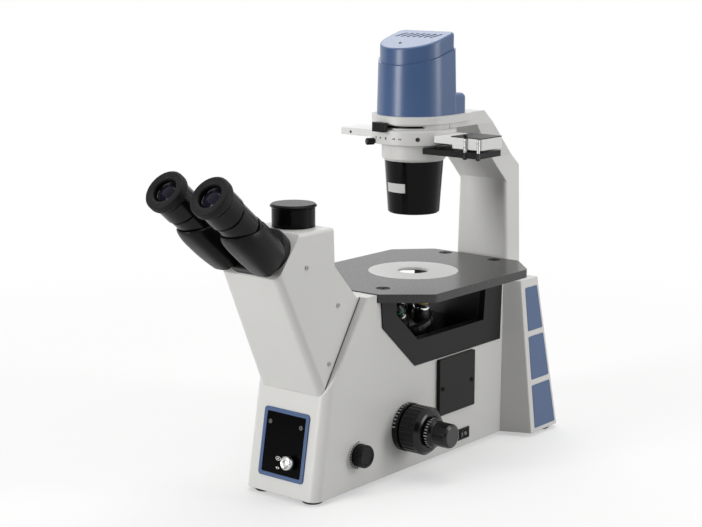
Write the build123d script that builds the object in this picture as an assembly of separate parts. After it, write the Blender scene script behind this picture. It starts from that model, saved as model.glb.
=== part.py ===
from build123d import *
import os
from math import asin, atan2, cos, degrees, pi, radians, sin, tan

# Inverted microscope for cell culture work: a cast stand, a fixed stage, a turret of
# objectives that rises from below, a binocular head and a lamp with its condenser above.
# The optical axis is x = y = 0 while the pieces are made; +Y is away from the user, +Z is up.
# Lengths are millimetres and angles are degrees.

# Clearances
SLIP = 0.3
RUN = 0.05
HAIR = 0.02

# Stand
FOOT_HEIGHT = 5.0
FOOT_RADIUS = 13.0
BASE_WIDTH = 108.0
BASE_FRONT = -249.0
BASE_REAR = 131.0
BASE_WALL = 6.0
BASE_CORNER = 12.0
FRONT_LEAN = 10.2
SEAM_HEIGHT = 122.5
SEAM_LEAN = 34.5
SEAM_BEVEL = 1.5
BOTTOM_PLATE = 3.0
PLATE_PLAY = 0.5
SHOULDER_DROP = 1.0
FOOT_FRONT_X = 36.0
FOOT_INSET = 17.0

# Stage
STAGE_TOP = 226.0
STAGE_THICKNESS = 10.0
STAGE_WIDTH = 211.0
STAGE_FRONT = -138.5
STAGE_REAR = 132.5
STAGE_FRONT_CUT = 51.0
STAGE_FRONT_RISE = 42.0
STAGE_REAR_CUT = 40.0
STAGE_ROUND = 9.0
INSERT_DIAMETER = 110.0
INSERT_THICKNESS = 3.0
INSERT_HOLE = 37.0
INSERT_LEDGE = 5.0
STAGE_SCREW_RADIUS = 8.5
STAGE_SCREW_DEPTH = 4.0
STAGE_SCREW_MARGIN = 9.0
STAGE_SCREW_INSET = 31.0
STAGE_SCREW_REAR_INSET = 14.0
STAGE_SCREW_SHANK = 3.0
STAGE_SCREW_BITE = 9.0
STAGE_SCREW_SINK = 0.4
STAGE_CLEARANCE = 0.8
INSERT_BEVEL = 0.8

# Nosepiece chamber, its windows and the black frames round them
FRAME_FOOT = 128.0
WINDOW_SILL = 159.0
FRAME_FRONT = -133.0
FRAME_REAR = 113.0
WINDOW_FRONT = -104.0
WINDOW_REAR = 78.0
WINDOW_REAR_LEAN = 6.0
WINDOW_SLOPE_TOP = 196.0
WINDOW_SLOPE_FOOT = -63.0
FRAME_SLOPE_TOP = 185.0
FRAME_SLOPE_FOOT = -67.0
FRAME_FRONT_LEAN = 3.6
FRAME_DEPTH = 7.0
FRAME_PROUD = 1.5
WELL_HALF_WIDTH = 44.0
WELL_FRONT = -96.0
WELL_REAR = 70.0
DECK_THICKNESS = 6.0
DECK_HOLE_GAP = 3.0

# Rear housing with three inlaid tiles on each flank
TAIL_TOP = 200.0
TAIL_FOOT_HALF = 91.3
TAIL_TOP_HALF = 71.0
TAIL_FLARE = 115.0
TAIL_FOOT_REAR = 193.0
TAIL_TOP_REAR = 171.5
TAIL_WALL = 5.0
TAIL_CORNER = 4.0
TAIL_FRONT_CORNER = 2.0
TAIL_FLARE_INSET = 2.0
TILE_THICKNESS = 2.4
TILE_PROUD = 0.4
TILE_BORDER = 8.5
TILE_REAR_BORDER = 2.5
TILE_FOOT_BORDER = 5.0
TILE_GAP = 7.5
TILE_COUNT = 3
TILE_TOP_BORDER = 10.0
TILE_CORNER = 1.6
INLET_WIDTH = 30.0
INLET_HEIGHT = 22.0
INLET_DEPTH = 18.0
INLET_PROUD = 2.5
INLET_WALL = 2.6
INLET_Z = 52.0
INLET_PIN_PITCH = 7.0
INLET_PIN_SINK = 6.0

# Front panel
PANEL_WIDTH = 67.0
PANEL_LENGTH = 79.0
PANEL_CENTRE = 61.5
PANEL_BORDER = 4.6
PANEL_CORNER = 4.0
PANEL_RECESS = 3.0
BEZEL_PROUD = 1.5
PANEL_PROUD = 0.6
PANEL_SCREW_X = 23.0
PANEL_SCREW_RISE = 23.0
SELECTOR_X = 13.7
SELECTOR_Z = 43.6
SELECTOR_ROD = 3.4
SELECTOR_KNOB = 6.0
SELECTOR_KNOB_LENGTH = 7.0
SELECTOR_REACH = 26.0
SELECTOR_OUT = 4.0

# Access cover, rocker switch and brightness control on the right flank
DOOR_FRONT = -22.6
DOOR_REAR = 50.2
DOOR_FOOT = 56.0
DOOR_TOP = 126.0
DOOR_THICKNESS = 5.0
DOOR_LAP = 8.0
DOOR_CORNER = 1.5
DOOR_SCREW_INSET = 6.5
DOOR_SCREW_DROP = 2.0
SWITCH_Y = 32.3
SWITCH_Z = 21.3
SWITCH_LENGTH = 25.0
SWITCH_HEIGHT = 13.8
SWITCH_RIM = 1.4
SWITCH_PROUD = 1.6
SWITCH_DEPTH = 12.0
ROCKER_PIN = 1.4
ROCKER_PIN_DEPTH = 2.0
ROCKER_RISE = 1.6
ROCKER_RELIEF = 1.8
DIMMER_Y = -174.0
DIMMER_Z = 44.5
DIMMER_DIAL_RADIUS = 17.0
DIMMER_DIAL_PROUD = 1.6
DIMMER_RADIUS = 13.4
DIMMER_LENGTH = 13.0
DIMMER_SHAFT = 3.0
DIMMER_RIBS = 24

# Cover screws
SCREW_HEAD_RADIUS = 2.6
SCREW_HEAD_HEIGHT = 1.2
SCREW_RADIUS = 1.5
SCREW_LENGTH = 7.0
HEX_RADIUS = 1.3
HEX_DEPTH = 0.8

# Focus drive
FOCUS_Y = -82.0
FOCUS_Z = 57.0
PINION_TEETH = 12
PINION_RADIUS = 6.0
PINION_LENGTH = 12.0
TOOTH_HEIGHT = 0.85
TOOTH_SHARE = 0.36
TOOTH_GAP = 0.25
RACK_TEETH = 6
RACK_MARGIN = 4.0
SHAFT_SHORT = 4.0
COARSE_SHAFT_RADIUS = 4.4
FINE_SHAFT_RADIUS = 2.6
BUSH_RADIUS = 13.0
BUSH_PROUD = 8.0
BUSH_INSIDE = 6.0
TENSION_RADIUS = 29.0
TENSION_LENGTH = 7.0
COARSE_RADIUS = 28.5
COARSE_LENGTH = 28.0
COARSE_RIBS = 28
RIB_DEPTH = 1.2
FINE_COLLAR_RADIUS = 17.5
FINE_COLLAR_LENGTH = 12.0
FINE_RADIUS = 14.5
FINE_LENGTH = 22.0
GUIDE_FRONT = -52.0
GUIDE_REAR = -36.0
GUIDE_HALF_WIDTH = 20.0
GUIDE_FOOT = 36.0
TONGUE_HALF_WIDTH = 6.0
TONGUE_DEPTH = 7.0
POST_HALF_WIDTH = 10.0
POST_FOOT = 24.0
CARRIAGE_DROP = 58.0
CARRIAGE_CLEARANCE = 4.0
CARRIAGE_THICKNESS = 8.0
CARRIAGE_HALF_WIDTH = 26.0
SLEEVE_RADIUS = 19.0
SLEEVE_OVERHANG = 4.0
CARRIAGE_CORNER = 12.0
POST_GAP = 2.0

# Turret and objectives
TURRET_TILT = 15.0
SEAT_HEIGHT = 180.0
SEAT_RADIUS = 25.9
TURRET_RADIUS = 39.0
TURRET_THICKNESS = 11.6
TURRET_SEATS = 5
TURRET_GRIPS = 30
MOUNT_RADIUS = 32.0
MOUNT_THICKNESS = 11.0
STUD_RADIUS = 6.0
LIGHT_RADIUS = 10.0
OBJECTIVE_SHARES = (0.722, 0.833, 0.917, 0.944)
OBJECTIVE_RADIUS = 11.0
OBJECTIVE_TIP = 6.5
OBJECTIVE_SEAT_DEPTH = 4.0
OBJECTIVE_THREAD = 10.0
MIRROR_BLOCK = 40.0
MIRROR_DROP = 44.0
TUBE_LENS_RADIUS = 13.0

# Head and binocular tube
HEAD_WIDTH = 95.0
HEAD_TOP_WIDTH = 83.0
HEAD_WALL = 5.0
HEAD_TOP = 310.0
HEAD_FRONT_LEAN = 25.2
HEAD_CORNER = 9.0
HEAD_REAR = -198.0
HEAD_REAR_FOOT = 264.0
HEAD_LEDGE = 6.2
HEAD_EDGE = 4.0
HEAD_SCREW_PLACES = ((-248.0, 272.3), (-196.6, 222.0), (-214.8, 158.6))
EYE_TILT = 40.0
MOUNT_FACE_Y = -257.5
PORT_Y = -220.6
PORT_RADIUS = 20.0
PORT_HEIGHT = 13.0
PORT_BORE = 15.0
CAP_RADIUS = 24.4
CAP_RIM_RADIUS = 26.3
CAP_HEIGHT = 25.7
CAP_RIM_HEIGHT = 4.6
CAP_TOP = 2.5
TUBE_BASE_WIDTH = 82.0
TUBE_BASE_MARGIN = 2.0
TUBE_BASE_THICKNESS = 12.0
TUBE_BASE_EDGE = 2.0
HINGE_OFFSET = 8.5
HINGE_RADIUS = 37.5
EYE_DISTANCE = 65.0
EYE_DISTANCE_LEAST = 54.0
HUB_RADIUS = 16.5
HUB_THICKNESS = 12.0
ARM_RADIUS = 20.5
ARM_DEPTH = 24.0
ARM_CORNER = 6.0
ARM_LENGTH = 44.0
LIP_LENGTH = 34.0
LIP_TAPER = 4.0
LIP_DROP = 9.0
SWING_MARGIN = 0.6
WEB_HALF = 10.0
SPIGOT_RADIUS = 17.0
SPIGOT_LENGTH = 13.0
STEM_RADIUS = 13.5
STEM_LENGTH = 26.0
DIOPTER_RADIUS = 20.2
DIOPTER_LENGTH = 12.0
DIOPTER_RIBS = 36
DIOPTER_TRAVEL = 2.5
BARREL_RADIUS = 19.7
BARREL_LENGTH = 30.0
BARREL_GROOVE = 3.0
BARREL_GROOVE_DEPTH = 1.4
OCULAR_RADIUS = 21.0
OCULAR_LENGTH = 22.0
EYECUP_RADIUS = 24.0
EYECUP_LENGTH = 13.0
EYECUP_MOUTH = 17.0
EYE_NECK_RADIUS = 15.0
EYE_NECK_HEIGHT = 6.0
EYE_LENS_RADIUS = 13.0
EYE_LENS_SEAT = 3.0

# Lamp arm, condenser and lamp house
ARM_HALF_FOOT = 39.8
ARM_HALF_BEND = 35.5
ARM_HALF_HEAD = 45.0
ARM_FRONT = 144.0
ARM_REAR = 178.5
ARM_BEND_INNER = 325.0
ARM_BEND_OUTER = 338.0
ARM_TOP_REAR = 82.0
ARM_SLOPE = 45.0
ARM_NECK = 356.0
ARM_FOOT_STEP = 1.0
ARM_EDGE = 5.0
FLANGE_RADIUS = 51.0
FLANGE_TOP = 418.0
FLANGE_LIP = 9.0
FLANGE_BACK = 50.0
FLANGE_CORNER = 6.0
SLOT_RING_RADIUS = 46.0
SLOT_RING_HEIGHT = 7.0
SCALE_RING_RADIUS = 51.0
SCALE_RING_HEIGHT = 18.0
COLLAR_RADIUS = 39.0
COLLAR_HEIGHT = 21.0
CONE_TOP_RADIUS = 35.6
CONE_FOOT_RADIUS = 31.3
CONE_HEIGHT = 64.0
CONE_WALL = 3.0
CONDENSER_BORE = 24.0
CONE_LENS_SEAT = 12.0
IRIS_RADIUS = 36.0
LEVER_REST = -100.0
LEVER_SLOT_HALF = 54.0
LEVER_THICKNESS = 2.4
LEVER_KNOB_WIDTH = 20.0
LEVER_KNOB_HEIGHT = 11.0
LEVER_KNOB_DEPTH = 8.0
LEVER_HALF = 2.5
LEVER_RIBS = 8
SLIDER_LEFT = -97.0
SLIDER_RIGHT = 113.5
SLIDER_HALF_WIDTH = 21.7
SLIDER_THICKNESS = 8.5
SLIDER_RAISE = 4.0
SLIDER_GRIP = 42.0
SLIDER_GRIP_DEPTH = 4.5
SLIDER_APERTURE = 17.0
SLIDER_PITCH = 44.0
SLIDER_CORNER = 2.0
TRAY_THICKNESS = 7.0
TRAY_DROP = 3.5
TRAY_HALF_WIDTH = 24.0
TRAY_SHORT = 2.0
TRAY_CORNER = 4.0
PIN_RADIUS = 1.9
PIN_HEAD_RADIUS = 2.8
PIN_HEAD_HEIGHT = 1.6
PIN_PLACES = (21.4, 2.7)
CLAMP_ANGLE = -120.0
CLAMP_RISE = 2.6
CLAMP_RADIUS = 2.2
CLAMP_KNOB_RADIUS = 4.2
CLAMP_KNOB_LENGTH = 10.0
LAMP_RADIUS = 45.0
LAMP_TAPER = 1.4
LAMP_BACK = 30.0
LAMP_LEDGE_BACK = 49.0
LAMP_LEDGE_HEIGHT = 24.0
LAMP_WALL = 3.0
LAMP_CORNER = 9.0
LAMP_LEDGE_EDGE = 6.0
LAMP_CAP_EDGE = 3.0
LAMP_RING = 4.0
LAMP_RING_RADIUS = 34.0
LAMP_RISE = 34.0
LAMP_FIN_HALF = 18.0
LAMP_FIN_HEIGHT = 10.0
LAMP_GAP = 3.5
LAMP_SLOPE = 15.0
LAMP_SEAM_FRONT = 477.0
LAMP_CAP_INSET = 3.6
LAMP_CAP_REAR_TOP = 516.5
VENT_COUNT = 7
VENT_WIDTH = 3.2
VENT_LENGTH = 17.0
VENT_PITCH = 8.6
VENT_SLANT = 28.0
VENT_Y = 8.0

# Places worked out from the driving dimensions
BASE_HALF = BASE_WIDTH / 2
SHOULDER_TOP = STAGE_TOP - SHOULDER_DROP
HEAD_HALF = HEAD_WIDTH / 2
HEAD_TAPER = degrees(atan2(HEAD_HALF - HEAD_TOP_WIDTH / 2, HEAD_TOP - SEAM_HEIGHT))
STAGE_BOTTOM = STAGE_TOP - STAGE_THICKNESS
CARRIAGE_LOW = SEAT_HEIGHT - CARRIAGE_DROP
WELL_FLOOR = CARRIAGE_LOW - CARRIAGE_CLEARANCE
DECK_LOW = WELL_FLOOR - DECK_THICKNESS
FLANGE_LOW = FLANGE_TOP - FLANGE_LIP
SLOT_RING_LOW = FLANGE_LOW - SLOT_RING_HEIGHT
SCALE_RING_LOW = SLOT_RING_LOW - SCALE_RING_HEIGHT
COLLAR_LOW = SCALE_RING_LOW - COLLAR_HEIGHT
CONE_LOW = COLLAR_LOW - CONE_HEIGHT
SLIDER_LOW = SCALE_RING_LOW + SLIDER_RAISE
TRAY_TOP = SCALE_RING_LOW - TRAY_DROP


def front_y(height):
    """The leaning front face of the stand at a height."""
    return BASE_FRONT + (height - FOOT_HEIGHT) * tan(radians(FRONT_LEAN))


def seam_y(height):
    """The joint between head and stand at a height."""
    return front_y(SEAM_HEIGHT) + (height - SEAM_HEIGHT) * tan(radians(SEAM_LEAN))


def head_half(height):
    """Half the head's width at a height: its sides draw in towards the top."""
    return HEAD_HALF - (height - SEAM_HEIGHT) * tan(radians(HEAD_TAPER))


def side_solid(points, low, high):
    """A prism along X from an outline of (y, z) points."""
    outline = make_face(Polyline(*points, close=True))
    return extrude(Plane.YZ.offset(low) * outline, high - low)


def across(points, half):
    """A prism along X, centred, from an outline of (y, z) points."""
    return side_solid(points, -half, half)


def edge_at(solid, *place):
    """The edge of a solid whose middle lies nearest to a place."""
    return min(solid.edges(), key=lambda edge: (edge.center() - Vector(*place)).length)


def block(x_range, y_range, z_range):
    """A box between two corners."""
    size = [high - low for low, high in (x_range, y_range, z_range)]
    middle = [(high + low) / 2 for low, high in (x_range, y_range, z_range)]
    return Pos(*middle) * Box(*size)


def turned(points, plane=Plane.XY):
    """A solid of revolution about a plane's normal, from (radius, height) points."""
    outline = Plane.XZ * make_face(Polyline(*points, close=True))
    return plane.location * revolve(outline, Axis.Z)


def rod(radius, low, high, plane=Plane.XY):
    """A round bar along a plane's normal between two heights."""
    return plane.location * Pos(0, 0, (low + high) / 2) * Cylinder(radius, high - low)


def tube(outer, inner, low, high, plane=Plane.XY):
    """A round sleeve along a plane's normal between two heights."""
    return rod(outer, low, high, plane) - rod(inner, low - 1, high + 1, plane)


def ribbed(solid, radius, depth, count, low, high, plane=Plane.XY):
    """Cuts finger grooves round a knob."""
    groove_radius = pi * radius / count * 0.52
    grooves = []
    for step in range(count):
        angle = 360 / count * step
        spot = Rot(0, 0, angle) * Pos(radius + groove_radius - depth, 0, (low + high) / 2)
        grooves.append(plane.location * spot * Cylinder(groove_radius, high - low))
    return solid - grooves


def mirrored(solid):
    """The same piece on the other side of the instrument."""
    return mirror(solid, about=Plane.YZ)


def cap_screw(plane):
    """A hexagon socket screw whose head stands on a plane."""
    screw = rod(SCREW_HEAD_RADIUS, 0, SCREW_HEAD_HEIGHT, plane)
    socket = extrude(RegularPolygon(HEX_RADIUS, 6), HEX_DEPTH)
    screw -= plane.location * Pos(0, 0, SCREW_HEAD_HEIGHT - HEX_DEPTH) * socket
    return screw + rod(SCREW_RADIUS, HAIR - SCREW_LENGTH, 0, plane)


def screw_hole(plane):
    """The hole that a cap screw's shank stands in."""
    return rod(SCREW_RADIUS + HAIR, -SCREW_LENGTH, SCREW_HEAD_HEIGHT, plane)


# Reference planes
FRONT_PLANE = Plane(
    origin=(0, front_y(PANEL_CENTRE), PANEL_CENTRE),
    x_dir=(1, 0, 0),
    z_dir=(0, -cos(radians(FRONT_LEAN)), sin(radians(FRONT_LEAN))),
)
FACE_RUN = tan(radians(EYE_TILT))
HEAD_RUN = tan(radians(HEAD_FRONT_LEAN))
FACE_FOOT_Z = (front_y(SEAM_HEIGHT) + SEAM_HEIGHT * HEAD_RUN - MOUNT_FACE_Y + HEAD_TOP * FACE_RUN) / (
    FACE_RUN + HEAD_RUN)
FACE_FOOT_Y = front_y(SEAM_HEIGHT) - (FACE_FOOT_Z - SEAM_HEIGHT) * HEAD_RUN
FACE_LENGTH = (HEAD_TOP - FACE_FOOT_Z) / cos(radians(EYE_TILT))
FACE_PLANE = Plane(
    origin=(0, (FACE_FOOT_Y + MOUNT_FACE_Y) / 2, (FACE_FOOT_Z + HEAD_TOP) / 2),
    x_dir=(1, 0, 0),
    z_dir=(0, -cos(radians(EYE_TILT)), sin(radians(EYE_TILT))),
)
HINGE_PLANE = Plane(FACE_PLANE.location * Pos(0, HINGE_OFFSET, 0))
TURRET_PLANE = Plane(
    origin=(
        0, -SEAT_RADIUS * cos(radians(TURRET_TILT)), SEAT_HEIGHT - SEAT_RADIUS * sin(radians(TURRET_TILT))),
    x_dir=(1, 0, 0),
    z_dir=(0, -sin(radians(TURRET_TILT)), cos(radians(TURRET_TILT))),
)
FOCUS_PLANE = Plane(origin=(0, FOCUS_Y, FOCUS_Z), x_dir=(0, 1, 0), z_dir=(1, 0, 0))
DIMMER_PLANE = Plane(origin=(BASE_HALF, DIMMER_Y, DIMMER_Z), x_dir=(0, 1, 0), z_dir=(1, 0, 0))
FLANK_TILT = degrees(atan2(TAIL_FOOT_HALF - TAIL_TOP_HALF, TAIL_TOP - FOOT_HEIGHT))
FLANK_PLANE = Plane(
    origin=(TAIL_FOOT_HALF, 0, FOOT_HEIGHT),
    x_dir=(0, 1, 0),
    z_dir=(cos(radians(FLANK_TILT)), 0, sin(radians(FLANK_TILT))),
)
FLANK_LENGTH = (TAIL_TOP - FOOT_HEIGHT) / cos(radians(FLANK_TILT))

# Places of the cover screws, as planes that their heads stand on
DOOR_SCREW_Z = (DOOR_FOOT + DOOR_TOP) / 2 - DOOR_SCREW_DROP
DOOR_SCREWS = [
    Plane(origin=(BASE_HALF + DOOR_THICKNESS, y, DOOR_SCREW_Z), x_dir=(0, 1, 0), z_dir=(1, 0, 0))
    for y in (DOOR_FRONT + DOOR_SCREW_INSET, DOOR_REAR - DOOR_SCREW_INSET)
]
HEAD_SCREWS = [
    Plane(
        origin=(side * head_half(z), y, z), x_dir=(0, 1, 0),
        z_dir=(side * cos(radians(HEAD_TAPER)), 0, sin(radians(HEAD_TAPER))))
    for y, z in HEAD_SCREW_PLACES
    for side in (-1, 1)
]
PANEL_SCREWS = [
    Plane(FRONT_PLANE.location * Pos(side * PANEL_SCREW_X, PANEL_SCREW_RISE, PANEL_PROUD))
    for side in (-1, 1)
]


# Stand
def window_outline():
    """The open window in each flank of the nosepiece chamber, up past the stage."""
    return [
        (WINDOW_FRONT, STAGE_TOP),
        (WINDOW_FRONT, WINDOW_SLOPE_TOP),
        (WINDOW_SLOPE_FOOT, WINDOW_SILL),
        (WINDOW_REAR - WINDOW_REAR_LEAN, WINDOW_SILL),
        (WINDOW_REAR, STAGE_TOP),
    ]


def frame_outline():
    """The outer edge of the black frame round a window, up past the stage."""
    return [
        (FRAME_FRONT, STAGE_TOP),
        (FRAME_FRONT + FRAME_FRONT_LEAN, FRAME_SLOPE_TOP),
        (FRAME_SLOPE_FOOT, FRAME_FOOT),
        (FRAME_REAR - FRAME_FRONT_LEAN, FRAME_FOOT),
        (FRAME_REAR, STAGE_TOP),
    ]


def bush_boss(side):
    """The boss on a flank that the focus shaft turns in."""
    low = BASE_HALF - BASE_WALL - BUSH_INSIDE
    high = BASE_HALF + BUSH_PROUD
    boss = rod(BUSH_RADIUS, low, high, FOCUS_PLANE)
    return boss if side > 0 else mirrored(boss)


def make_base_casting():
    """The stand: one hollow casting, open below, with a wedge seat in front for the head."""
    stage_gap = STAGE_FRONT - STAGE_CLEARANCE
    body = across([
        (front_y(FOOT_HEIGHT), FOOT_HEIGHT),
        (front_y(SEAM_HEIGHT), SEAM_HEIGHT),
        (seam_y(SHOULDER_TOP), SHOULDER_TOP),
        (stage_gap, SHOULDER_TOP),
        (stage_gap, STAGE_BOTTOM),
        (BASE_REAR, STAGE_BOTTOM),
        (BASE_REAR, FOOT_HEIGHT),
    ], BASE_HALF)
    seam_middle = (SEAM_HEIGHT + SHOULDER_TOP) / 2
    front_middle = (FOOT_HEIGHT + SEAM_HEIGHT) / 2
    seam_edges = [edge_at(body, side * BASE_HALF, seam_y(seam_middle), seam_middle) for side in (-1, 1)]
    body = chamfer(seam_edges, SEAM_BEVEL)
    front_edges = [edge_at(body, side * BASE_HALF, front_y(front_middle), front_middle) for side in (-1, 1)]
    body = fillet(front_edges, BASE_CORNER)
    inner = BASE_HALF - BASE_WALL
    roof = SHOULDER_TOP - 3 * BASE_WALL
    body -= across([
        (front_y(FOOT_HEIGHT) + 2 * BASE_WALL, FOOT_HEIGHT - 1),
        (front_y(SEAM_HEIGHT) + 2 * BASE_WALL, SEAM_HEIGHT - 2 * BASE_WALL),
        (seam_y(roof) + 2 * BASE_WALL, roof),
        (FRAME_FRONT, roof),
        (FRAME_FRONT, FRAME_SLOPE_TOP - BASE_WALL),
        (WELL_FRONT - BASE_WALL, DECK_LOW),
        (BASE_REAR - BASE_WALL, DECK_LOW),
        (BASE_REAR - BASE_WALL, FOOT_HEIGHT - 1),
    ], inner)
    body -= across(window_outline(), BASE_WIDTH)
    body -= block((-WELL_HALF_WIDTH, WELL_HALF_WIDTH), (WELL_FRONT, WELL_REAR), (WELL_FLOOR, STAGE_TOP))
    recess = side_solid(frame_outline(), BASE_HALF - FRAME_DEPTH, BASE_WIDTH)
    body -= [recess, mirrored(recess)]
    body -= rod(SLEEVE_RADIUS + DECK_HOLE_GAP, DECK_LOW - 1, WELL_FLOOR + 1)
    body -= block(
        (-POST_HALF_WIDTH - POST_GAP, POST_HALF_WIDTH + POST_GAP),
        (FOCUS_Y, GUIDE_FRONT + TONGUE_DEPTH + POST_GAP),
        (DECK_LOW - 1, WELL_FLOOR + 1))
    body += [bush_boss(1), bush_boss(-1)]
    body -= rod(COARSE_SHAFT_RADIUS + RUN, -BASE_WIDTH, BASE_WIDTH, FOCUS_PLANE)
    body -= FRONT_PLANE.location * Pos(0, 0, -PANEL_RECESS) * extrude(
        RectangleRounded(PANEL_WIDTH, PANEL_LENGTH, PANEL_CORNER), 2 * PANEL_RECESS)
    body -= rod(SELECTOR_ROD + RUN, -SELECTOR_REACH - BASE_WALL, PANEL_RECESS, SELECTOR_PLANE)
    body -= block(
        (inner - 1, BASE_WIDTH),
        (DOOR_FRONT + DOOR_LAP, DOOR_REAR - DOOR_LAP),
        (DOOR_FOOT + DOOR_LAP, min(DECK_LOW - BASE_WALL, DOOR_TOP - DOOR_LAP)))
    body -= block(
        (inner - 1, BASE_WIDTH),
        (SWITCH_Y - SWITCH_LENGTH / 2 + SWITCH_RIM, SWITCH_Y + SWITCH_LENGTH / 2 - SWITCH_RIM),
        (SWITCH_Z - SWITCH_HEIGHT / 2 + SWITCH_RIM, SWITCH_Z + SWITCH_HEIGHT / 2 - SWITCH_RIM))
    body -= rod(DIMMER_SHAFT + RUN, -3 * BASE_WALL, 1, DIMMER_PLANE)
    bite = STAGE_BOTTOM - STAGE_SCREW_BITE
    body -= [rod(STAGE_SCREW_SHANK + HAIR, bite, STAGE_TOP, spot) for spot in stage_screw_spots()]
    body -= [screw_hole(plane) for plane in DOOR_SCREWS + PANEL_SCREWS]
    return body


def make_base_plate():
    """The sheets that close the stand and the rear housing from below."""
    inner = BASE_HALF - BASE_WALL - HAIR
    stand_sheet = block(
        (-inner, inner),
        (front_y(FOOT_HEIGHT) + 2 * BASE_WALL + BOTTOM_PLATE, BASE_REAR - BASE_WALL - HAIR),
        (FOOT_HEIGHT, FOOT_HEIGHT + BOTTOM_PLATE))
    inner = TAIL_FOOT_HALF - 2 * TAIL_WALL - PLATE_PLAY
    tail_sheet = block(
        (-inner, inner),
        (BASE_REAR + TAIL_WALL + HAIR, TAIL_FOOT_REAR - TAIL_WALL - PLATE_PLAY),
        (FOOT_HEIGHT, FOOT_HEIGHT + BOTTOM_PLATE))
    return [stand_sheet, tail_sheet]


def make_feet():
    """Four rubber feet under the stand and the rear housing."""
    spots = [(side * FOOT_FRONT_X, front_y(FOOT_HEIGHT) + FOOT_INSET) for side in (-1, 1)]
    spots += [(side * (TAIL_FOOT_HALF - FOOT_INSET), TAIL_FOOT_REAR - FOOT_INSET) for side in (-1, 1)]
    profile = [(0, 0), (FOOT_RADIUS - 2, 0), (FOOT_RADIUS, 2), (FOOT_RADIUS, FOOT_HEIGHT), (0, FOOT_HEIGHT)]
    return [turned(profile, Plane(origin=(x, y, 0))) for x, y in spots]


def make_chamber_frame():
    """The black U-shaped frame let into the right flank round the chamber window."""
    frame = side_solid(frame_outline(), BASE_HALF - FRAME_DEPTH, BASE_HALF + FRAME_PROUD)
    frame -= block((0, BASE_WIDTH), (STAGE_FRONT, STAGE_REAR), (STAGE_BOTTOM, STAGE_TOP + 1))
    return frame - across(window_outline(), BASE_WIDTH)


def tail_section(height, half, rear, flare_inset):
    """One level of the rear housing in plan, flaring out of the stand's flanks."""
    front = TAIL_FLARE + flare_inset
    outline = Polyline(
        (BASE_HALF, front), (half, BASE_REAR), (half, rear),
        (-half, rear), (-half, BASE_REAR), (-BASE_HALF, front), close=True)
    return Pos(0, 0, height) * make_face(outline)


def make_rear_housing():
    """The flared housing behind the stand that carries the lamp arm and holds the power supply."""
    body = loft([
        tail_section(FOOT_HEIGHT, TAIL_FOOT_HALF, TAIL_FOOT_REAR, 0),
        tail_section(TAIL_TOP, TAIL_TOP_HALF, TAIL_TOP_REAR, TAIL_FLARE_INSET),
    ], ruled=True)
    middle = (FOOT_HEIGHT + TAIL_TOP) / 2
    half = (TAIL_FOOT_HALF + TAIL_TOP_HALF) / 2
    rear = (TAIL_FOOT_REAR + TAIL_TOP_REAR) / 2
    body = fillet([edge_at(body, side * half, rear, middle) for side in (-1, 1)], TAIL_CORNER)
    body = fillet([edge_at(body, side * half, BASE_REAR, middle) for side in (-1, 1)], TAIL_FRONT_CORNER)
    body -= block((-BASE_HALF, BASE_HALF), (0, BASE_REAR), (0, STAGE_TOP))
    body -= loft([
        Pos(0, (BASE_REAR + TAIL_FOOT_REAR) / 2, FOOT_HEIGHT - 1) * Rectangle(
            2 * (TAIL_FOOT_HALF - 2 * TAIL_WALL), TAIL_FOOT_REAR - BASE_REAR - 2 * TAIL_WALL),
        Pos(0, (BASE_REAR + TAIL_TOP_REAR) / 2, TAIL_TOP - TAIL_WALL) * Rectangle(
            2 * (TAIL_TOP_HALF - 2 * TAIL_WALL), TAIL_TOP_REAR - BASE_REAR - 2 * TAIL_WALL),
    ], ruled=True)
    pockets = [tile_solid(row, -TILE_THICKNESS + TILE_PROUD, TILE_PROUD + 1) for row in range(TILE_COUNT)]
    body -= pockets
    body -= [mirrored(pocket) for pocket in pockets]
    return body - inlet_body(0)


def tile_solid(row, low, high):
    """One tile of the right flank between two depths, measured out from the flank."""
    height = (FLANK_LENGTH - TILE_FOOT_BORDER - TILE_TOP_BORDER - (TILE_COUNT - 1) * TILE_GAP) / TILE_COUNT
    foot = TILE_FOOT_BORDER + row * (height + TILE_GAP)
    top = foot + height

    def rear(climb):
        share = climb / FLANK_LENGTH
        return TAIL_FOOT_REAR + (TAIL_TOP_REAR - TAIL_FOOT_REAR) * share - TILE_REAR_BORDER - TAIL_CORNER

    front = BASE_REAR + TILE_BORDER
    corners = [(front, foot), (rear(foot), foot), (rear(top), top), (front, top)]
    outline = make_face(Polyline(*corners, close=True))
    outline = fillet(outline.vertices(), TILE_CORNER)
    return FLANK_PLANE.location * Pos(0, 0, low) * extrude(outline, high - low)


def make_side_tiles():
    """Blue tiles let into both flanks of the rear housing."""
    tiles = [tile_solid(row, -TILE_THICKNESS + TILE_PROUD, TILE_PROUD) for row in range(TILE_COUNT)]
    return tiles + [mirrored(tile) for tile in tiles]


def inlet_body(play):
    """The block of the mains inlet, let into the rear face of the rear housing."""
    half_width = INLET_WIDTH / 2 - play
    half_height = INLET_HEIGHT / 2 - play
    return block(
        (-half_width, half_width),
        (inlet_y() - INLET_DEPTH, inlet_y() + INLET_PROUD),
        (INLET_Z - half_height, INLET_Z + half_height))


def inlet_y():
    """The leaning rear face of the rear housing at the inlet's height."""
    share = (INLET_Z - FOOT_HEIGHT) / (TAIL_TOP - FOOT_HEIGHT)
    return TAIL_FOOT_REAR + (TAIL_TOP_REAR - TAIL_FOOT_REAR) * share


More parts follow.
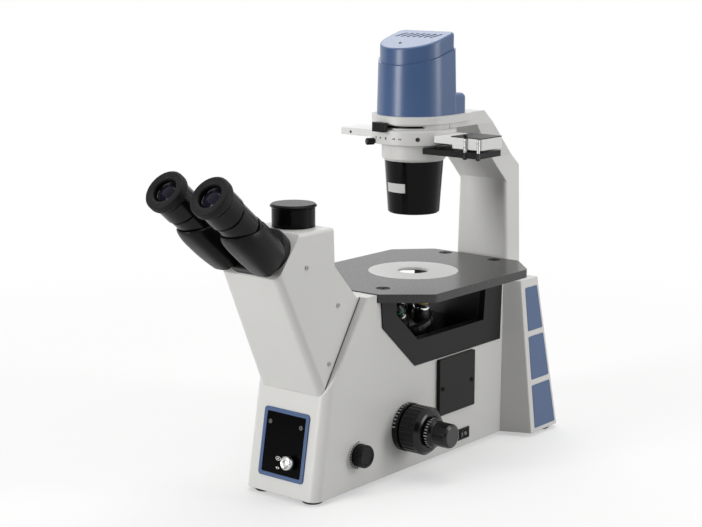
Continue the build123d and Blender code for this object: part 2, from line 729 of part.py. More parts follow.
def make_power_inlet():
    """The mains inlet: a block with a socket recess and three flat contact pins."""
    body = inlet_body(HAIR)
    floor = inlet_y() - INLET_DEPTH + INLET_WALL
    top = inlet_y() + INLET_PROUD
    body -= block(
        (-INLET_WIDTH / 2 + INLET_WALL, INLET_WIDTH / 2 - INLET_WALL), (floor, top + 1),
        (INLET_Z - INLET_HEIGHT / 2 + INLET_WALL, INLET_Z + INLET_HEIGHT / 2 - INLET_WALL))
    for x, z in ((-INLET_PIN_PITCH, 0), (0, INLET_PIN_PITCH / 2), (INLET_PIN_PITCH, 0)):
        body += block((x - 1, x + 1), (floor - 1, top - INLET_PIN_SINK), (INLET_Z + z - 2, INLET_Z + z + 2))
    return body


# Front panel
SELECTOR_PLANE = Plane(FRONT_PLANE.location * Pos(
    SELECTOR_X, (SELECTOR_Z - PANEL_CENTRE) / cos(radians(FRONT_LEAN)), 0))


def make_front_bezel():
    """The blue rim round the front panel."""
    rim = RectangleRounded(PANEL_WIDTH - 2 * HAIR, PANEL_LENGTH - 2 * HAIR, PANEL_CORNER)
    rim -= RectangleRounded(PANEL_WIDTH - 2 * PANEL_BORDER, PANEL_LENGTH - 2 * PANEL_BORDER, PANEL_CORNER / 2)
    return FRONT_PLANE.location * Pos(0, 0, -PANEL_RECESS) * extrude(rim, PANEL_RECESS + BEZEL_PROUD)


def make_front_panel():
    """The black panel inside the rim, bored for the beam selector."""
    play = PANEL_BORDER + HAIR
    sheet = RectangleRounded(PANEL_WIDTH - 2 * play, PANEL_LENGTH - 2 * play, PANEL_CORNER / 2)
    panel = FRONT_PLANE.location * Pos(0, 0, -PANEL_RECESS) * extrude(sheet, PANEL_RECESS + PANEL_PROUD)
    panel -= rod(SELECTOR_ROD + RUN, -BASE_WALL, BASE_WALL, SELECTOR_PLANE)
    return panel - [screw_hole(plane) for plane in PANEL_SCREWS]


def make_beam_selector():
    """The push-pull rod that sends the image to the eyepieces or the camera port."""
    low = PANEL_PROUD + SELECTOR_OUT
    high = low + SELECTOR_KNOB_LENGTH
    return turned([
        (0, -SELECTOR_REACH), (SELECTOR_ROD, -SELECTOR_REACH), (SELECTOR_ROD, low), (SELECTOR_KNOB - 1, low),
        (SELECTOR_KNOB, low + 1), (SELECTOR_KNOB, high - 1), (SELECTOR_KNOB - 1, high), (0, high),
    ], SELECTOR_PLANE)


# Right flank: access cover, switch and brightness control
def make_access_door():
    """The black cover over the filter bay, held by two screws."""
    door = block(
        (BASE_HALF, BASE_HALF + DOOR_THICKNESS), (DOOR_FRONT, DOOR_REAR), (DOOR_FOOT, DOOR_TOP))
    door = fillet(door.edges().filter_by(Axis.X), DOOR_CORNER)
    return door - [screw_hole(plane) for plane in DOOR_SCREWS]


def switch_opening(play):
    """The box that the rocker swings in, seen from the flank."""
    half_length = SWITCH_LENGTH / 2 - SWITCH_RIM - play
    half_height = SWITCH_HEIGHT / 2 - SWITCH_RIM - play
    return (SWITCH_Y - half_length, SWITCH_Y + half_length), (SWITCH_Z - half_height, SWITCH_Z + half_height)


def make_switch_frame():
    """The snap-in frame of the power switch."""
    y_range, z_range = switch_opening(HAIR)
    body = block((BASE_HALF - SWITCH_DEPTH, BASE_HALF), y_range, z_range)
    body += block(
        (BASE_HALF, BASE_HALF + SWITCH_PROUD),
        (SWITCH_Y - SWITCH_LENGTH / 2, SWITCH_Y + SWITCH_LENGTH / 2),
        (SWITCH_Z - SWITCH_HEIGHT / 2, SWITCH_Z + SWITCH_HEIGHT / 2))
    y_inner, z_inner = switch_opening(SWITCH_RIM)
    body -= block((BASE_HALF - SWITCH_DEPTH + SWITCH_RIM, BASE_WIDTH), y_inner, z_inner)
    return body - rod(ROCKER_PIN + RUN, -SWITCH_HEIGHT, SWITCH_HEIGHT, ROCKER_PLANE)


ROCKER_PLANE = Plane(
    origin=(BASE_HALF - ROCKER_PIN_DEPTH, SWITCH_Y, SWITCH_Z), x_dir=(1, 0, 0), z_dir=(0, 0, 1))


def make_power_rocker():
    """The rocker: a shallow V that tips about a pin through the frame."""
    (front, rear), (low, high) = switch_opening(SWITCH_RIM + SLIP)
    crown = BASE_HALF + SWITCH_PROUD + ROCKER_RISE
    body = Polyline(
        (front + ROCKER_RELIEF, BASE_HALF - ROCKER_PIN_DEPTH - 2 * ROCKER_PIN),
        (rear - ROCKER_RELIEF, BASE_HALF - ROCKER_PIN_DEPTH - 2 * ROCKER_PIN),
        (rear - SLIP, BASE_HALF), (rear - ROCKER_RELIEF, crown), (SWITCH_Y, crown - ROCKER_RISE),
        (front + ROCKER_RELIEF, crown), (front + SLIP, BASE_HALF), close=True)
    seat = Plane(origin=(0, 0, low), x_dir=(0, 1, 0), z_dir=(0, 0, -1))
    rocker = seat.location * Pos(0, 0, low - high) * extrude(make_face(body), high - low)
    half = SWITCH_HEIGHT / 2 - SWITCH_RIM - HAIR
    return rocker + rod(ROCKER_PIN, -half, half, ROCKER_PLANE)


def make_brightness_dial():
    """The ring with the brightness scale, fixed to the flank."""
    return tube(DIMMER_DIAL_RADIUS, DIMMER_SHAFT + SLIP, 0, DIMMER_DIAL_PROUD, DIMMER_PLANE)


def make_brightness_knob():
    """The brightness knob on its shaft."""
    low = DIMMER_DIAL_PROUD + SLIP
    high = low + DIMMER_LENGTH
    knob = turned([
        (0, -2 * BASE_WALL), (DIMMER_SHAFT, -2 * BASE_WALL), (DIMMER_SHAFT, low), (DIMMER_RADIUS, low),
        (DIMMER_RADIUS, high - 2), (DIMMER_RADIUS - 1.5, high), (DIMMER_RADIUS - 4, high),
        (DIMMER_RADIUS - 5, high - 1), (0, high - 1),
    ], DIMMER_PLANE)
    return ribbed(knob, DIMMER_RADIUS, RIB_DEPTH / 2, DIMMER_RIBS, low + 2, high - 3, DIMMER_PLANE)


def make_cover_screws():
    """The socket screws of the access cover, the head and the front panel."""
    return [cap_screw(plane) for plane in DOOR_SCREWS + HEAD_SCREWS + PANEL_SCREWS]


# Stage
def stage_screw_spots():
    """The four fixing screws of the stage, as planes at table height."""
    rows = (STAGE_FRONT + STAGE_SCREW_INSET, STAGE_REAR - STAGE_SCREW_REAR_INSET)
    x = BASE_HALF - FRAME_DEPTH - STAGE_SCREW_MARGIN
    return [Plane(origin=(side * x, y, 0)) for y in rows for side in (-1, 1)]


def stage_outline():
    """The stage in plan: a rectangle with its four corners cut off and softened."""
    half = STAGE_WIDTH / 2
    right = [
        (half - STAGE_FRONT_CUT, STAGE_FRONT), (half, STAGE_FRONT + STAGE_FRONT_RISE),
        (half, STAGE_REAR - STAGE_REAR_CUT), (half - STAGE_REAR_CUT, STAGE_REAR)]
    left = [(-x, y) for x, y in reversed(right)]
    outline = make_face(Polyline(*right, *left, close=True))
    return fillet(outline.vertices(), STAGE_ROUND)


def make_stage_plate():
    """The fixed stage with its cut corners and the ledge for the insert."""
    plate = Pos(0, 0, STAGE_BOTTOM) * extrude(stage_outline(), STAGE_THICKNESS)
    plate -= rod(INSERT_DIAMETER / 2, STAGE_TOP - INSERT_THICKNESS, STAGE_TOP + 1)
    plate -= rod(INSERT_DIAMETER / 2 - INSERT_LEDGE, STAGE_BOTTOM - 1, STAGE_TOP)
    for spot in stage_screw_spots():
        plate -= rod(STAGE_SCREW_RADIUS + HAIR, STAGE_TOP - STAGE_SCREW_DEPTH, STAGE_TOP + 1, spot)
        plate -= rod(STAGE_SCREW_SHANK + HAIR, STAGE_BOTTOM - 1, STAGE_TOP, spot)
    return plate


def make_stage_insert():
    """The round insert that carries the dish over the objective."""
    insert = tube(INSERT_DIAMETER / 2 - RUN, INSERT_HOLE / 2, STAGE_TOP - INSERT_THICKNESS, STAGE_TOP)
    return chamfer(edge_at_radius(insert, INSERT_HOLE / 2, STAGE_TOP), INSERT_BEVEL)


def edge_at_radius(solid, radius, height):
    """The round edges of a radius at a height, about the optical axis."""
    return [edge for edge in solid.edges().filter_by(GeomType.CIRCLE)
            if abs(edge.radius - radius) < HAIR and abs(edge.center().Z - height) < HAIR]


def make_stage_screws():
    """Four low-head screws that fix the stage to the stand."""
    screws = []
    for spot in stage_screw_spots():
        seat = STAGE_TOP - STAGE_SCREW_DEPTH
        screw = rod(STAGE_SCREW_RADIUS, seat, STAGE_TOP - STAGE_SCREW_SINK, spot)
        screw += rod(STAGE_SCREW_SHANK, STAGE_BOTTOM - STAGE_SCREW_BITE + 1, seat, spot)
        socket = extrude(RegularPolygon(STAGE_SCREW_SHANK * 0.8, 6), STAGE_SCREW_DEPTH)
        screws.append(screw - spot.location * Pos(0, 0, seat + 1) * socket)
    return screws


# Focus drive
PITCH = 2 * pi * PINION_RADIUS / PINION_TEETH


def tooth_half(outward):
    """Half the thickness of a straight-sided tooth at a distance beyond its pitch line."""
    return TOOTH_SHARE * PITCH / 2 - outward * tan(radians(20))


def tooth_outline(base):
    """A tooth standing on the X axis of a plane, its pitch line at a distance from the origin."""
    root = -TOOTH_HEIGHT - TOOTH_GAP
    return make_face(Polyline(
        (base + root - 1, -tooth_half(root)), (base + TOOTH_HEIGHT, -tooth_half(TOOTH_HEIGHT)),
        (base + TOOTH_HEIGHT, tooth_half(TOOTH_HEIGHT)), (base + root - 1, tooth_half(root)), close=True))


def make_coarse_shaft():
    """The hollow coarse shaft with the focus pinion cut on it."""
    reach = coarse_reach() - SHAFT_SHORT
    shaft = rod(COARSE_SHAFT_RADIUS, -reach, reach, FOCUS_PLANE)
    half = PINION_LENGTH / 2
    shaft += rod(PINION_RADIUS - TOOTH_HEIGHT - TOOTH_GAP, -half, half, FOCUS_PLANE)
    for step in range(PINION_TEETH):
        place = FOCUS_PLANE.location * Rot(0, 0, 360 / PINION_TEETH * step) * Pos(0, 0, -half)
        shaft += place * extrude(tooth_outline(PINION_RADIUS), PINION_LENGTH)
    return shaft - rod(FINE_SHAFT_RADIUS + RUN, -BASE_WIDTH, BASE_WIDTH, FOCUS_PLANE)


def bush_end():
    """The outer end of the focus bush, measured from the middle of the stand."""
    return BASE_HALF + BUSH_PROUD


def coarse_reach():
    """The outer face of a coarse knob, measured from the middle of the stand."""
    return bush_end() + SLIP + COARSE_LENGTH


def make_tension_ring():
    """The ring with white ticks between the right flank and the coarse knob, which sets its drag."""
    low = BASE_HALF + SLIP
    ring = tube(TENSION_RADIUS, BUSH_RADIUS + RUN, low, low + TENSION_LENGTH, FOCUS_PLANE)
    middle = low + TENSION_LENGTH / 2
    return ribbed(ring, TENSION_RADIUS, RIB_DEPTH / 2, COARSE_RIBS, middle, bush_end(), FOCUS_PLANE)


def make_coarse_knob(skirt):
    """A ribbed coarse knob on the right, with a dished face round the fine knob."""
    low = bush_end() + SLIP
    high = coarse_reach()
    knob = turned([
        (COARSE_SHAFT_RADIUS + HAIR, low), (COARSE_RADIUS - 2, low), (COARSE_RADIUS, low + 2),
        (COARSE_RADIUS, high - 5), (COARSE_RADIUS - 4, high - 1), (COARSE_RADIUS - 7, high),
        (FINE_COLLAR_RADIUS + 1.5, high), (FINE_COLLAR_RADIUS + 1, high - 3),
        (COARSE_SHAFT_RADIUS + HAIR, high - 3),
    ], FOCUS_PLANE)
    if skirt:
        knob += tube(COARSE_RADIUS - 2, BUSH_RADIUS + SLIP, BASE_HALF + SLIP, low, FOCUS_PLANE)
    return ribbed(knob, COARSE_RADIUS, RIB_DEPTH, COARSE_RIBS, low + 1, high - 6, FOCUS_PLANE)


def make_fine_knob():
    """The fine knob on the right: a graduated collar and a ribbed grip with a domed end."""
    low = coarse_reach() - 3 + SLIP
    collar = low + FINE_COLLAR_LENGTH
    high = collar + FINE_LENGTH
    bore = FINE_SHAFT_RADIUS + HAIR
    knob = turned([
        (bore, low), (FINE_COLLAR_RADIUS - 0.5, low), (FINE_COLLAR_RADIUS, low + 0.5),
        (FINE_COLLAR_RADIUS, collar - 2), (FINE_RADIUS + 0.5, collar), (FINE_RADIUS, collar + 1),
        (FINE_RADIUS, high - 3), (FINE_RADIUS - 1, high - 1), (FINE_RADIUS - 3, high), (0, high),
        (0, high - 3), (bore, high - 3),
    ], FOCUS_PLANE)
    return ribbed(knob, FINE_RADIUS, RIB_DEPTH / 2, COARSE_RIBS, collar + 3, high - 4, FOCUS_PLANE)


def make_fine_shaft():
    """The solid fine shaft that runs through the coarse one."""
    reach = coarse_reach() + FINE_COLLAR_LENGTH + FINE_LENGTH - 3 - 3 + SLIP - SHAFT_SHORT
    return rod(FINE_SHAFT_RADIUS, -reach, reach, FOCUS_PLANE)


def make_focus_guide():
    """The grooved guide under the deck that the focus carriage slides on."""
    guide = block((-GUIDE_HALF_WIDTH, GUIDE_HALF_WIDTH), (GUIDE_FRONT, GUIDE_REAR), (GUIDE_FOOT, DECK_LOW))
    groove = TONGUE_DEPTH + SLIP
    return guide - block(
        (-TONGUE_HALF_WIDTH, TONGUE_HALF_WIDTH), (GUIDE_FRONT - 1, GUIDE_FRONT + groove), (0, DECK_LOW + 1))


def make_focus_carriage():
    """The lift: a racked post on the guide and a bracket that reaches under the turret."""
    face = FOCUS_Y + PINION_RADIUS + TOOTH_HEIGHT + TOOTH_GAP
    back = GUIDE_FRONT - 2 * RUN
    top = CARRIAGE_LOW + CARRIAGE_THICKNESS
    body = block((-POST_HALF_WIDTH, POST_HALF_WIDTH), (face, back), (POST_FOOT, top))
    half = TONGUE_HALF_WIDTH - RUN
    body += block((-half, half), (back, GUIDE_FRONT + TONGUE_DEPTH), (GUIDE_FOOT + RACK_MARGIN, top))
    reach = CARRIAGE_HALF_WIDTH
    body += block((-reach, reach), (face, reach), (CARRIAGE_LOW, top))
    corners = [edge_at(body, side * reach, reach, (CARRIAGE_LOW + top) / 2) for side in (-1, 1)]
    body = fillet(corners, CARRIAGE_CORNER)
    rack = Plane(origin=(0, FOCUS_Y + PINION_RADIUS, FOCUS_Z), x_dir=(0, -1, 0), z_dir=(1, 0, 0))
    for step in range(-RACK_TEETH, RACK_TEETH):
        place = rack.location * Pos(0, (step + 0.5) * PITCH, -PINION_LENGTH / 2)
        body += place * extrude(tooth_outline(0), PINION_LENGTH)
    return body - rod(SLEEVE_RADIUS + RUN, 0, STAGE_TOP)


# Nosepiece
def make_nosepiece_mount():
    """The tilted seat of the turret on its sleeve, which slides in the carriage for fine focus."""
    under = -TURRET_THICKNESS - SLIP
    body = rod(SLEEVE_RADIUS, CARRIAGE_LOW - SLEEVE_OVERHANG, SEAT_HEIGHT)
    body -= TURRET_PLANE.location * Pos(0, 0, under + STAGE_TOP / 2) * Box(STAGE_TOP, STAGE_TOP, STAGE_TOP)
    body += turned([
        (0, under - MOUNT_THICKNESS), (MOUNT_RADIUS - 6, under - MOUNT_THICKNESS), (MOUNT_RADIUS, under - 5),
        (MOUNT_RADIUS, under), (STUD_RADIUS, under), (STUD_RADIUS, -1), (0, -1),
    ], TURRET_PLANE)
    return body - rod(LIGHT_RADIUS, 0, STAGE_TOP)


def seat_location(index):
    """The seat of one objective: its axis leans out on the turret's cone."""
    turn = Rot(0, 0, -360 / TURRET_SEATS * index)
    return TURRET_PLANE.location * turn * Pos(0, SEAT_RADIUS, 0) * Rot(-TURRET_TILT, 0, 0)


def make_turret():
    """The revolving turret with its knurled rim and threaded seats."""
    low = -TURRET_THICKNESS
    body = turned([
        (STUD_RADIUS + RUN, low), (TURRET_RADIUS - 3, low), (TURRET_RADIUS, low + 3), (TURRET_RADIUS, -3.5),
        (TURRET_RADIUS - 3.5, 0), (STUD_RADIUS + RUN, 0),
    ], TURRET_PLANE)
    for index in range(TURRET_SEATS):
        thread = OBJECTIVE_THREAD + HAIR
        rim = OBJECTIVE_RADIUS + SLIP
        body -= seat_location(index) * turned([
            (0, low), (thread, low), (thread, -HAIR), (rim, -HAIR), (rim, TURRET_THICKNESS),
            (0, TURRET_THICKNESS)])
    return ribbed(body, TURRET_RADIUS, RIB_DEPTH / 2, TURRET_GRIPS, low + 2.5, -3, TURRET_PLANE)


def make_objectives():
    """Four objectives that fill shares of the room under the stage, and a dust plug in the fifth seat."""
    pieces = []
    for index, share in enumerate(OBJECTIVE_SHARES):
        length = share * (STAGE_BOTTOM - SEAT_HEIGHT)
        profile = [
            (OBJECTIVE_TIP / 2, -OBJECTIVE_SEAT_DEPTH), (OBJECTIVE_THREAD, -OBJECTIVE_SEAT_DEPTH),
            (OBJECTIVE_THREAD, 0), (OBJECTIVE_RADIUS, 0), (OBJECTIVE_RADIUS, length * 0.2),
            (OBJECTIVE_RADIUS - 0.8, length * 0.22), (OBJECTIVE_RADIUS - 0.8, length * 0.55),
            (OBJECTIVE_RADIUS - 2.2, length * 0.62), (OBJECTIVE_RADIUS - 2.2, length * 0.85),
            (OBJECTIVE_TIP, length * 0.97), (OBJECTIVE_TIP - 0.6, length), (OBJECTIVE_TIP / 2, length),
        ]
        pieces.append(seat_location(index) * turned(profile))
    plug = [
        (0, -OBJECTIVE_SEAT_DEPTH), (OBJECTIVE_THREAD, -OBJECTIVE_SEAT_DEPTH), (OBJECTIVE_THREAD, 0),
        (OBJECTIVE_RADIUS, 0), (OBJECTIVE_RADIUS, 2.4), (OBJECTIVE_RADIUS - 1, 3.4), (0, 3.4)]
    pieces.append(seat_location(len(OBJECTIVE_SHARES)) * turned(plug))
    return pieces


def make_mirror_block():
    """The block under the deck that turns the image beam forward to the head."""
    half = MIRROR_BLOCK / 2
    foot = DECK_LOW - MIRROR_DROP
    body = block((-half, half), (-half, half), (foot, DECK_LOW))
    corner = [(half + 1, foot - 1), (half + 1, foot + half), (0, foot - 1)]
    body -= side_solid(corner, -MIRROR_BLOCK, MIRROR_BLOCK)
    bore_low = foot + half / 2
    body -= rod(TUBE_LENS_RADIUS + HAIR, bore_low, DECK_LOW + 1)
    eye = Plane(origin=(0, 0, bore_low + TUBE_LENS_RADIUS), x_dir=(1, 0, 0), z_dir=(0, -1, 0))
    return body - rod(LIGHT_RADIUS, 0, MIRROR_BLOCK, eye)


def make_tube_lens():
    """The lens over the mirror that forms the image."""
    top = DECK_LOW - 1
    radius = TUBE_LENS_RADIUS
    return turned([(0, top - 5), (radius * 0.6, top - 4.6), (radius, top - 3.5), (radius, top), (0, top)])


# Head and binocular tube
def head_outline():
    """The side of the head: leaning front, mount face, flat top and the wedge that sits in the stand."""
    return [
        (front_y(SEAM_HEIGHT), SEAM_HEIGHT), (FACE_FOOT_Y, FACE_FOOT_Z), (MOUNT_FACE_Y, HEAD_TOP),
        (HEAD_REAR, HEAD_TOP), (HEAD_REAR, HEAD_REAR_FOOT), (seam_y(SHOULDER_TOP) - HEAD_LEDGE, SHOULDER_TOP),
        (seam_y(SHOULDER_TOP), SHOULDER_TOP),
    ]


def make_head_housing():
    """The moulded head: a hollow wedge with soft front edges, bored for the beam and the port."""
    outline = make_face(Polyline(*head_outline(), close=True))
    body = extrude(Plane.YZ.offset(-HEAD_HALF) * outline, HEAD_WIDTH)
    flank = Pos(HEAD_HALF, 0, SEAM_HEIGHT) * Rot(0, -HEAD_TAPER, 0) * Pos(HEAD_TOP, 0, 0) * Box(
        2 * HEAD_TOP, 4 * HEAD_TOP, 4 * HEAD_TOP)
    body -= [flank, mirrored(flank)]
    middle = (SEAM_HEIGHT + FACE_FOOT_Z) / 2
    lean = (front_y(SEAM_HEIGHT) + FACE_FOOT_Y) / 2
    body = fillet([edge_at(body, side * head_half(middle), lean, middle) for side in (-1, 1)], HEAD_CORNER)
    top = ((HEAD_REAR, (HEAD_TOP + HEAD_REAR_FOOT) / 2), ((HEAD_REAR + MOUNT_FACE_Y) / 2, HEAD_TOP))
    soft = [edge_at(body, side * head_half(z), y, z) for y, z in top for side in (-1, 1)]
    soft.append(edge_at(body, 0, HEAD_REAR, HEAD_TOP))
    body = fillet(soft, HEAD_EDGE)
    room = HEAD_TOP_WIDTH / 2 - HEAD_WALL
    body -= extrude(Plane.YZ.offset(-room) * offset(outline, -HEAD_WALL), 2 * room)
    body -= rod(PORT_BORE, HEAD_REAR_FOOT, HEAD_TOP + 1, PORT_PLANE)
    body -= rod(LIGHT_RADIUS, -3 * HEAD_WALL, HEAD_WALL, HINGE_PLANE)
    return body - [screw_hole(plane) for plane in HEAD_SCREWS]


PORT_PLANE = Plane(origin=(0, PORT_Y, 0))


def make_camera_port():
    """The tube that takes a camera adapter on top of the head."""
    top = HEAD_TOP + PORT_HEIGHT
    port = tube(PORT_RADIUS, PORT_BORE, HEAD_TOP, top, PORT_PLANE)
    return port - tube(PORT_RADIUS + 1, PORT_RADIUS - 1, top - 5, top - 3, PORT_PLANE)


def make_camera_port_cap():
    """The black dust cap over the camera port, with a wider bevelled rim."""
    low = HEAD_TOP + SLIP
    top = low + CAP_HEIGHT
    rim = top - CAP_RIM_HEIGHT
    return turned([
        (PORT_RADIUS + RUN, low), (CAP_RADIUS, low), (CAP_RADIUS, rim), (CAP_RIM_RADIUS, rim + 1.6),
        (CAP_RIM_RADIUS, rim + 2.6), (CAP_RIM_RADIUS - 2, top), (0, top), (0, top - CAP_TOP),
        (PORT_RADIUS + RUN, top - CAP_TOP),
    ], PORT_PLANE)


def make_binocular_base():
    """The black seat of the binocular tube on the head's mount face."""
    seat = extrude(SlotOverall(TUBE_BASE_WIDTH, FACE_LENGTH - 2 * TUBE_BASE_MARGIN), TUBE_BASE_THICKNESS)
    seat = fillet(seat.edges().group_by(Axis.Z)[-1], TUBE_BASE_EDGE)
    seat = FACE_PLANE.location * seat
    return seat - rod(LIGHT_RADIUS, -1, TUBE_BASE_THICKNESS + 1, HINGE_PLANE)


EYE_ANGLE = degrees(asin(EYE_DISTANCE / 2 / HINGE_RADIUS))
SWING_IN = EYE_ANGLE - degrees(asin(EYE_DISTANCE_LEAST / 2 / HINGE_RADIUS))
ARM_LOW = TUBE_BASE_THICKNESS + SLIP
ARM_TOP = TUBE_BASE_THICKNESS + ARM_LENGTH
BARREL_LOW = ARM_TOP + SPIGOT_LENGTH + DIOPTER_TRAVEL + SLIP
EYECUP_LOW = BARREL_LOW + BARREL_LENGTH + OCULAR_LENGTH
EYE_NECK_TOP = EYECUP_LOW + EYE_NECK_HEIGHT


def eye_plane():
    """The foot of the right eyepiece's axis on the mount face."""
    return Plane(HINGE_PLANE.location * Pos(EYE_DISTANCE / 2, -HINGE_RADIUS * cos(radians(EYE_ANGLE)), 0))


def hub_levels(order):
    """The heights over the mount face between which an arm's hub turns: the arms are stacked."""
    low = ARM_LOW + order * (HUB_THICKNESS + SLIP)
    return low, low + HUB_THICKNESS


def arm_section():
    """The arm across the eyepiece's axis: round above and square below, with soft lower corners."""
    section = Circle(ARM_RADIUS) + Pos(0, -ARM_DEPTH / 2) * Rectangle(2 * ARM_RADIUS, ARM_DEPTH)
    return fillet(section.vertices().group_by(Axis.Y)[0], ARM_CORNER)


def make_binocular_arm(order):
    """The right arm of the binocular tube: a prism housing on a hub, with a lip under the eyepiece."""
    axis = eye_plane()
    body = axis.location * Pos(0, 0, ARM_LOW) * extrude(arm_section(), ARM_TOP - ARM_LOW)
    lip = extrude(arm_section(), LIP_LENGTH, taper=LIP_TAPER)
    lip -= Pos(0, ARM_DEPTH - LIP_DROP, 0) * Box(4 * ARM_RADIUS, 2 * ARM_DEPTH, 4 * LIP_LENGTH)
    body += axis.location * Pos(0, 0, ARM_TOP) * lip
    body -= rod(DIOPTER_RADIUS + SLIP, ARM_TOP, ARM_TOP + 2 * LIP_LENGTH, axis)
    wedge = Pos(-STAGE_TOP / 2, 0, 0) * Box(STAGE_TOP, STAGE_TOP, STAGE_TOP)
    body -= HINGE_PLANE.location * Rot(0, 0, SWING_IN + SWING_MARGIN) * wedge
    other_low, other_high = hub_levels(1 - order)
    body -= rod(HUB_RADIUS + SLIP, other_low - SLIP, other_high + SLIP, HINGE_PLANE)
    low, high = hub_levels(order)
    body += rod(HUB_RADIUS, low, high, HINGE_PLANE)
    web = Pos(HINGE_RADIUS / 2, 0, (low + high) / 2) * Box(HINGE_RADIUS, 2 * WEB_HALF, HUB_THICKNESS)
    body += HINGE_PLANE.location * Rot(0, 0, EYE_ANGLE - 90) * web
    body += rod(SPIGOT_RADIUS, ARM_TOP - 1, ARM_TOP + SPIGOT_LENGTH, axis)
    return body - rod(STEM_RADIUS + RUN, ARM_TOP - STEM_LENGTH, ARM_TOP + STEM_LENGTH, axis)


def make_diopter_ring():
    """The ribbed ring on the right tube that focuses its eyepiece."""
    low = ARM_TOP + SLIP
    high = low + DIOPTER_LENGTH
    ring = turned([
        (SPIGOT_RADIUS + RUN, low), (DIOPTER_RADIUS - 0.6, low), (DIOPTER_RADIUS, low + 0.6),
        (DIOPTER_RADIUS, high - 0.8), (DIOPTER_RADIUS - 0.8, high), (SPIGOT_RADIUS + RUN, high),
    ], eye_plane())
    return ribbed(ring, DIOPTER_RADIUS, RIB_DEPTH / 2, DIOPTER_RIBS, low + 1.5, high - 1.5, eye_plane())


def make_eyepiece():
    """The right eyepiece: stem in the tube, smooth barrel, groove, ocular head and the lens's neck."""
    stem_low = ARM_TOP - STEM_LENGTH + DIOPTER_TRAVEL + SLIP
    groove = BARREL_LOW + BARREL_LENGTH
    groove_radius = BARREL_RADIUS - BARREL_GROOVE_DEPTH
    lens = EYE_NECK_TOP - EYE_LENS_SEAT
    return turned([
        (LIGHT_RADIUS, stem_low), (STEM_RADIUS, stem_low), (STEM_RADIUS, BARREL_LOW),
        (BARREL_RADIUS - 0.6, BARREL_LOW), (BARREL_RADIUS, BARREL_LOW + 0.6),
        (BARREL_RADIUS, groove - BARREL_GROOVE - 0.6), (BARREL_RADIUS - 0.6, groove - BARREL_GROOVE),
        (groove_radius, groove - BARREL_GROOVE), (groove_radius, groove), (OCULAR_RADIUS - 0.8, groove),
        (OCULAR_RADIUS, groove + 0.8), (OCULAR_RADIUS, EYECUP_LOW - 1), (OCULAR_RADIUS - 1, EYECUP_LOW),
        (EYE_NECK_RADIUS, EYECUP_LOW), (EYE_NECK_RADIUS, EYE_NECK_TOP),
        (EYE_LENS_RADIUS + HAIR, EYE_NECK_TOP), (EYE_LENS_RADIUS + HAIR, lens), (LIGHT_RADIUS, lens),
    ], eye_plane())


def make_eye_lens():
    """The right eye lens, crowned outwards."""
    low = EYE_NECK_TOP - EYE_LENS_SEAT
    radius = EYE_LENS_RADIUS
    return turned([
        (0, low), (radius, low), (radius, low + 1.6), (radius * 0.7, low + 2.6),
        (radius * 0.35, low + 3.2), (0, low + 3.4),
    ], eye_plane())


def make_eyecup():
    """The right rubber eyecup: a collar over the lens's neck with a flat front and a rounded edge."""
    low = EYECUP_LOW
    high = EYECUP_LOW + EYECUP_LENGTH
    radius = EYECUP_RADIUS
    bore = EYE_NECK_RADIUS + HAIR
    return turned([
        (bore, low), (OCULAR_RADIUS - 1, low), (radius - 0.6, low + 2.4), (radius, low + 3.6),
        (radius, high - 2.2), (radius - 0.6, high - 0.8), (radius - 2, high), (EYECUP_MOUTH, high),
        (bore, EYE_NECK_TOP),
    ], eye_plane())


# Lamp arm and condenser
def arm_side():
    """The arm from the side: an upright column, a slope forward and a flat head under the lamp."""
    slope = tan(radians(ARM_SLOPE))
    inner = ARM_FRONT - (SLOT_RING_LOW - ARM_BEND_INNER) / slope
    return [
        (ARM_FRONT, TAIL_TOP), (ARM_FRONT, ARM_BEND_INNER), (inner, SLOT_RING_LOW), (0, SLOT_RING_LOW),
        (0, FLANGE_TOP), (ARM_TOP_REAR, FLANGE_TOP), (ARM_REAR, ARM_BEND_OUTER),
        (ARM_REAR - ARM_FOOT_STEP, TAIL_TOP),
    ]


def arm_front():
    """The arm from the front: it narrows up the column and widens again at the head."""
    right = [
        (ARM_HALF_FOOT, TAIL_TOP), (ARM_HALF_BEND, ARM_BEND_OUTER), (ARM_HALF_BEND, ARM_NECK),
        (ARM_HALF_HEAD, SLOT_RING_LOW), (ARM_HALF_HEAD, FLANGE_TOP)]
    left = [(-x, z) for x, z in reversed(right)]
    return make_face(Polyline(*right, *left, close=True))


def d_plan(radius, back, corner):
    """A plan that is round in front and square behind."""
    outline = Line((radius, 0), (radius, back)) + Line((radius, back), (-radius, back))
    outline += Line((-radius, back), (-radius, 0))
    outline += ThreePointArc((-radius, 0), (0, -radius), (radius, 0))
    plan = make_face(outline)
    return fillet(plan.vertices().group_by(Axis.Y)[-1], corner)


def make_illumination_arm():
    """The cast arm over the stage, with the round flange that the lamp house stands on."""
    body = across(arm_side(), ARM_HALF_FOOT + ARM_HALF_HEAD)
    body = body & extrude(Plane.XZ * arm_front(), ARM_REAR + 1, both=True)
    corners = [
        (ARM_FRONT, (TAIL_TOP + ARM_BEND_INNER) / 2, ARM_HALF_FOOT + (ARM_HALF_BEND - ARM_HALF_FOOT) * 0.45),
        (ARM_REAR, (TAIL_TOP + ARM_BEND_OUTER) / 2, ARM_HALF_FOOT + (ARM_HALF_BEND - ARM_HALF_FOOT) * 0.5)]
    body = fillet([edge_at(body, side * x, y, z) for y, z, x in corners for side in (-1, 1)], ARM_EDGE)
    body += Pos(0, 0, FLANGE_LOW) * extrude(d_plan(FLANGE_RADIUS, FLANGE_BACK, FLANGE_CORNER), FLANGE_LIP)
    body -= rod(SLOT_RING_RADIUS, 0, FLANGE_LOW)
    return body - rod(CONDENSER_BORE, 0, FLANGE_TOP + 1)


